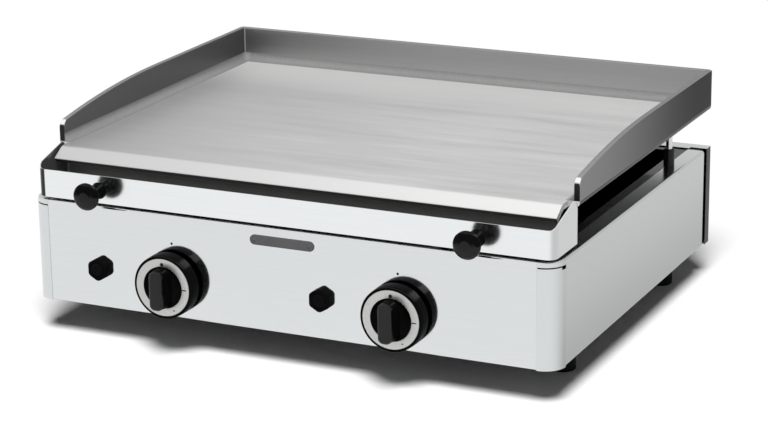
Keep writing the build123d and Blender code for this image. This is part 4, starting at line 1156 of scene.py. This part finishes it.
@dataclass
class PanScrews:
    """The eight screws of the base pan, seen from below: domed heads with a cross recess."""

    head_r: float = 3.4
    head_h: float = 1.8
    fall: float = 0.35
    shank_r: float = 1.8
    shank: float = 6.0
    cross: float = 0.5
    reach: float = 1.9
    depth: float = 0.9
    level: float = 38.0
    sides: tuple[float, ...] = (294.0, -133.5, 150.5)
    ends: tuple[float, ...] = (207.2, -219.5, 238.5)

    def head(self, place: Place) -> np.ndarray:
        """Turns one screw and sinks a cross into its dome: two bars whose depth fades at their ends.

        Args:
            place: where the head meets the pan, looking down.

        Returns:
            A ring-shaped grid of points.
        """
        radii = np.linspace(0, self.head_r - 0.2, 14)
        dome = [(r, self.head_h * (1 - self.fall * (r / self.head_r) ** 2)) for r in radii]
        profile = np.array(dome + [(self.head_r, 0.7), (self.head_r, 0.0), (self.shank_r, 0.0),
                                   (self.shank_r, -self.shank), (0.0, -self.shank)])
        on_dome = (np.arange(len(profile)) < len(dome))[:, None]

        def cut(u: np.ndarray, v: np.ndarray) -> np.ndarray:
            """Gives the cross's depth."""
            arm = np.minimum(np.abs(u), np.abs(v)) < self.cross
            fade = np.clip((self.reach - np.hypot(u, v)) / 0.6, 0, 1)
            return np.where(on_dome & arm, self.depth * fade, 0.0)

        return turned(profile, place, 64, cut)

    def build(self) -> None:
        """Sets the screws round the pan's edge."""
        spots = [(way * self.sides[0], y) for way in (-1, 1) for y in self.sides[1:]]
        spots += [(way * self.ends[0], y) for way in (-1, 1) for y in self.ends[1:]]
        form = Form()
        for x, y in spots:
            form.ring(self.head(Place((x * MM, y * MM, self.level * MM), FLOORWARD, REARWARD)))
        # painted shade: the screws under the pan are near-black
        form.piece("pan_screws", "casing", "screw_steel", SHADED_METAL, ["base_screws"])


@dataclass
class Guard:
    """The splash guard: a sheet round three sides of the plate, whose top falls to the front in an arc."""

    thick: float = 6.0
    outer_r: float = 5.0
    inner_r: float = 2.0
    outer_edge: float = 1.5
    inner_edge: float = 1.0
    arc_r: float = 1205.6
    level_from: float = 39.5
    tip_r: float = 6.0

    def rails(self, half: float, front: float, rear: float) -> tuple[np.ndarray, np.ndarray]:
        """Gives the guard's outer and inner lines in plan, point for point, from front right to front left.

        Args:
            half: half of the outer width.
            front: front end.
            rear: outer face of the back.

        Returns:
            Outer and inner points, each of shape (n, 2).
        """
        lines = []
        tip = self.tip_r * (1 - np.cos(np.linspace(0, math.pi / 2, 9)))
        for inset, radius in ((0.0, self.outer_r), (self.thick, self.inner_r)):
            x, y = half - inset - radius, rear - inset - radius
            turn = np.linspace(0, math.pi / 2, 9)
            straight = np.linspace(front + self.tip_r, y, 60)[1:-1]
            run = np.concatenate([front + tip, straight])
            side = np.stack([np.full_like(run, x + radius), run], axis=1)
            bend = np.stack([x + radius * np.cos(turn), y + radius * np.sin(turn)], axis=1)
            back = np.stack([np.linspace(x, 0.0, 30)[1:], np.full(29, y + radius)], axis=1)
            right = np.concatenate([side, bend, back])
            lines.append(np.concatenate([right, right[-2::-1] * np.array([-1.0, 1.0])]))
        return lines[0], lines[1]

    def top(self, y: np.ndarray, rise: float, front: float) -> np.ndarray:
        """Gives the guard's height: level at the back, then a circle's fall, then the rounded tip.

        Args:
            y: places from front to back.
            rise: height at the back.
            front: front end.

        Returns:
            Heights above the plate.
        """
        ahead = np.clip(self.level_from - y, 0, None)
        fall = self.arc_r - np.sqrt(self.arc_r ** 2 - ahead ** 2)
        left = np.clip(self.tip_r - (y - front), 0, self.tip_r)
        return rise - fall - (self.tip_r - np.sqrt(self.tip_r ** 2 - left ** 2))

    def build(self) -> None:
        """Carries the section round the rails: outer + share * (inner - outer), up to the top edge."""
        low, high = (np.array(corner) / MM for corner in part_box("splash_guard"))
        outer, inner = self.rails(high[0], low[1], high[1])
        over = [(inset, 1.0, -drop) for inset, drop in eased(self.outer_edge, 6)]
        under = [(self.thick - drop, 1.0, -inset) for inset, drop in eased(self.inner_edge, 6)]
        section = np.array([(0.0, 0.0, 0.0), *over, *under, (self.thick, 0.0, 0.0)])
        share = (section[:, 0] / self.thick)[None, :, None]
        plan = outer[:, None] + share * (inner - outer)[:, None]
        rise = section[:, 1] * self.top(plan[..., 1], high[2] - low[2], low[1]) + section[:, 2]
        grid = Place((0.0, 0.0, low[2] * MM), SKY, REARWARD).at(-plan[..., 0], plan[..., 1], rise)
        ends = [np.broadcast_to(row.mean(axis=0), row.shape)[None] for row in (grid[0], grid[-1])]
        Form().ring(np.concatenate([ends[0], grid, ends[1]])).piece(
            "guard_sheet", "plate", "guard_steel", GUARD, ["splash_guard"], 40.0)


@dataclass
class Inlet:
    """The gas inlet: a hexagon inside the back panel, a lock nut outside it and a bored male pipe thread."""

    body_af: float = 27.0
    nut_af: float = 30.0
    nut_h: float = 4.0
    body_rear: float = -15.2
    body_front: float = -1.2
    major_r: float = 10.48
    bore_r: float = 5.0
    end: float = 18.0
    pitch: float = 1.814
    depth: float = 1.16

    def hexagon(self, across: float, angle: np.ndarray, level: np.ndarray) -> np.ndarray:
        """Gives a chamfered hexagon's radius: flat / cos(angle off the flat), or a 30 degree cone's if less.

        Args:
            across: size across the flats.
            angle: angles round the axis, shape (1, sides).
            level: heights from the lower to the upper end, shape (rows, 1).

        Returns:
            Radii, shape (rows, sides).
        """
        off = (angle + math.pi / 6) % (math.pi / 3) - math.pi / 6
        within = np.minimum(level - level[0], level[-1] - level)
        cone = across * 0.525 + within * math.tan(math.radians(60.0))
        return np.minimum(across / 2 / np.cos(off), cone)

    def build(self) -> None:
        """Stacks rows of radii along the axis: hexagon, neck, nut, helical thread, and back down the bore."""
        x, _, z = middle("gas_inlet")
        place = Place((x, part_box("rear_panel")[1][1], z), REARWARD)
        angle = np.linspace(0, 2 * math.pi, 96, endpoint=False)[None]
        rear, front, end = self.body_rear, self.body_front, self.end
        body = np.array([rear, rear + 0.7, front - 0.7, front])[:, None]
        nut = np.array([0.0, 0.6, self.nut_h - 0.6, self.nut_h])[:, None]
        run = np.arange(self.nut_h, end, self.pitch / 14)[:, None]
        phase = (run / self.pitch - angle / (2 * math.pi)) % 1.0
        taper = np.clip((end - run) / 1.2, 0, 1)
        ridge = np.clip(1.6 * np.abs(2 * phase - 1) - 0.3, 0, 1)
        thread = self.major_r - self.depth * (1 - ridge * taper)
        neck = np.full((2, 1), self.major_r)
        bore = np.array([self.major_r - self.depth, self.bore_r + 0.6, self.bore_r, self.bore_r])[:, None]
        hexagons = [self.hexagon(self.body_af, angle, body), self.hexagon(self.nut_af, angle, nut)]
        radius = np.concatenate([rows + 0 * angle for rows in (hexagons[0], neck, hexagons[1], thread, bore)])
        level = np.concatenate([body, [[front], [0.0]], nut, run, [[end], [end], [end - 0.6], [rear]]])
        radius, level = np.concatenate([radius, radius[:1]]), np.concatenate([level, level[:1]])
        grid = place.at(radius * np.cos(angle), radius * np.sin(angle), level)
        Form().ring(grid).piece("inlet_fitting", "casing", "valve_brass", BRASS, ["gas_inlet"])


@dataclass
class Sheetwork:
    """The CAD nodes whose shapes stand as they are, each with its finish."""

    finishes: dict[Finish, tuple[str, ...]] = field(default_factory=lambda: {
        CASING: ("front_panel",),
        REAR: ("rear_panel",),
        FLANK: both("side_panel"),
        DRAWER: ("grease_drawer", "drawer_cheeks"),
        PLATE: ("griddle_plate", "plate_lip"),
        WELD: ("guard_weld",),
        LEG: ("plate_legs",),
        ZINC: ("base_pan",),
        # painted shade: the shelf guides in the drawer gap are near-black
        SHADED_METAL: ("shelf_guides",),
        SCREW: ("foot_screws", "valve_screws", "pull_screws", *both("spindle")),
        BURNER: both("burner"),
        BRASS: both("gas_valve", "valve_plunger", "injector"),
        PIPE: ("gas_manifold", *both("feed_pipe")),
        COPPER: both("thermocouple"),
        CERAMIC: both("electrode"),
        LEAD: both("ignition_lead"),
        ENAMEL: ("plate_cups", "burner_box", "burner_brackets"),
        PLASTIC: (*both("igniter_body"), "drawer_runners", "pipe_clip"),
    })

    def build(self) -> None:
        """Puts each finish into its nodes' material slots."""
        for finish, nodes in self.finishes.items():
            for name in nodes:
                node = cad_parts[name]
                if not node.material_slots:
                    node.data.materials.append(finish.material())
                for slot in node.material_slots:
                    slot.material = finish.material()
                LOG.info("%s: %s", name, finish.name)


@dataclass
class Studio:
    """Pale floor, soft overhead light and the camera of the photograph."""

    eye: Point = (1.1427, -2.4022, 0.9083)
    right: Point = (0.90580, 0.42354, -0.01252)
    up: Point = (-0.11308, 0.27010, 0.95617)
    back: Point = (0.40836, -0.86468, 0.29254)
    lens: float = 119.1
    floor_half: float = 14.0
    floor_tone: float = 0.94
    ambient: float = 0.05
    key: float = 3.7
    key_angle: float = 24.0
    key_front: float = 27.5
    key_right: float = 12.0

    def camera(self) -> None:
        """Sets up the camera from its own directions."""
        data = bpy.data.cameras.new("photo_camera")
        data.sensor_fit, data.sensor_width, data.lens = "HORIZONTAL", 36.0, self.lens
        data.clip_end = 60.0
        made = bpy.data.objects.new("photo_camera", data)
        columns = [(*way, 0.0) for way in (self.right, self.up, self.back)] + [(*self.eye, 1.0)]
        made.matrix_world = Matrix(columns).transposed()
        bpy.context.scene.collection.objects.link(made)
        bpy.context.scene.camera = made

    def seen(self, graph: Graph) -> Field:
        """Gives 1 where the room is seen, straight or in metal and glass, but not by a dull surface."""
        rays = [graph.add("ShaderNodeLightPath", out=name)
                for name in ("Is Camera Ray", "Is Glossy Ray", "Is Transmission Ray", "Diffuse Depth")]
        return (rays[0] | rays[1] | rays[2]) * (1 - rays[3].step(0.0, 1.0))

    def floor(self) -> None:
        """Lays the pale floor just under the feet, where it keeps the shadow."""
        half, level = self.floor_half, -0.0002
        mesh = bpy.data.meshes.new("studio_floor")
        spots = [(x, y, level) for x, y, _ in corners_of(half, half, 0.0)]
        mesh.from_pydata(spots, [], [(0, 1, 2, 3)])
        look = bpy.data.materials.new("look_floor")
        look.use_nodes = True
        graph = Graph(look.node_tree)
        cloud = graph.noise((3.0, 3.0, 3.0), 2.0)
        base = graph.blend(cloud, grey(self.floor_tone - 0.01), grey(self.floor_tone + 0.01))
        graph.surface(base, 0.9, 0.0, None, {"Specular IOR Level": 0.0})
        mesh.materials.append(look)
        made = bpy.data.objects.new("studio_floor", mesh)
        bpy.context.scene.collection.objects.link(made)

    def lamps(self) -> None:
        """Hangs the soft key lamp above the front right; metal mirrors the white room instead of it."""
        data = bpy.data.lights.new("key_lamp", "SUN")
        data.energy, data.angle = self.key, math.radians(self.key_angle)
        made = bpy.data.objects.new("key_lamp", data)
        made.rotation_euler = (math.radians(self.key_front), math.radians(self.key_right), 0.0)
        made.location = (0.6, -1.5, 3.0)
        made.visible_glossy = False
        bpy.context.scene.collection.objects.link(made)

    def world(self) -> None:
        """Fills the room: white where it is seen, straight or in metal, and a dim soft light elsewhere."""
        world = bpy.data.worlds.new("studio_world")
        world.use_nodes = True
        bpy.context.scene.world = world
        graph = Graph(world.node_tree)
        colour = graph.blend(self.seen(graph), grey(self.ambient), grey(1.0))
        room = graph.add("ShaderNodeBackground", None, {"Color": colour, "Strength": 1.0})
        graph.add("ShaderNodeOutputWorld", None, {0: room})
        bpy.context.scene.view_settings.view_transform = "Standard"

    def build(self) -> None:
        """Sets the stage."""
        self.camera()
        self.floor()
        self.lamps()
        self.world()


def main() -> None:
    """Builds the griddle's pieces in order, then the studio round it."""
    logging.basicConfig(level=logging.INFO, format="%(name)s %(message)s")
    builders: list[Any] = [Sheetwork(), Guard()]
    builders += [make(side) for side in SIDES for make in (Knob, Igniter, Pull)]
    builders += [Badge(), Seams()]
    builders += [Foot(f"{end}_{side}") for end in ("front", "rear") for side in SIDES]
    builders += [PanScrews(), Inlet(), Studio()]
    for builder in builders:
        LOG.info("building %s", type(builder).__name__)
        builder.build()


if __name__ == "__main__":
    main()
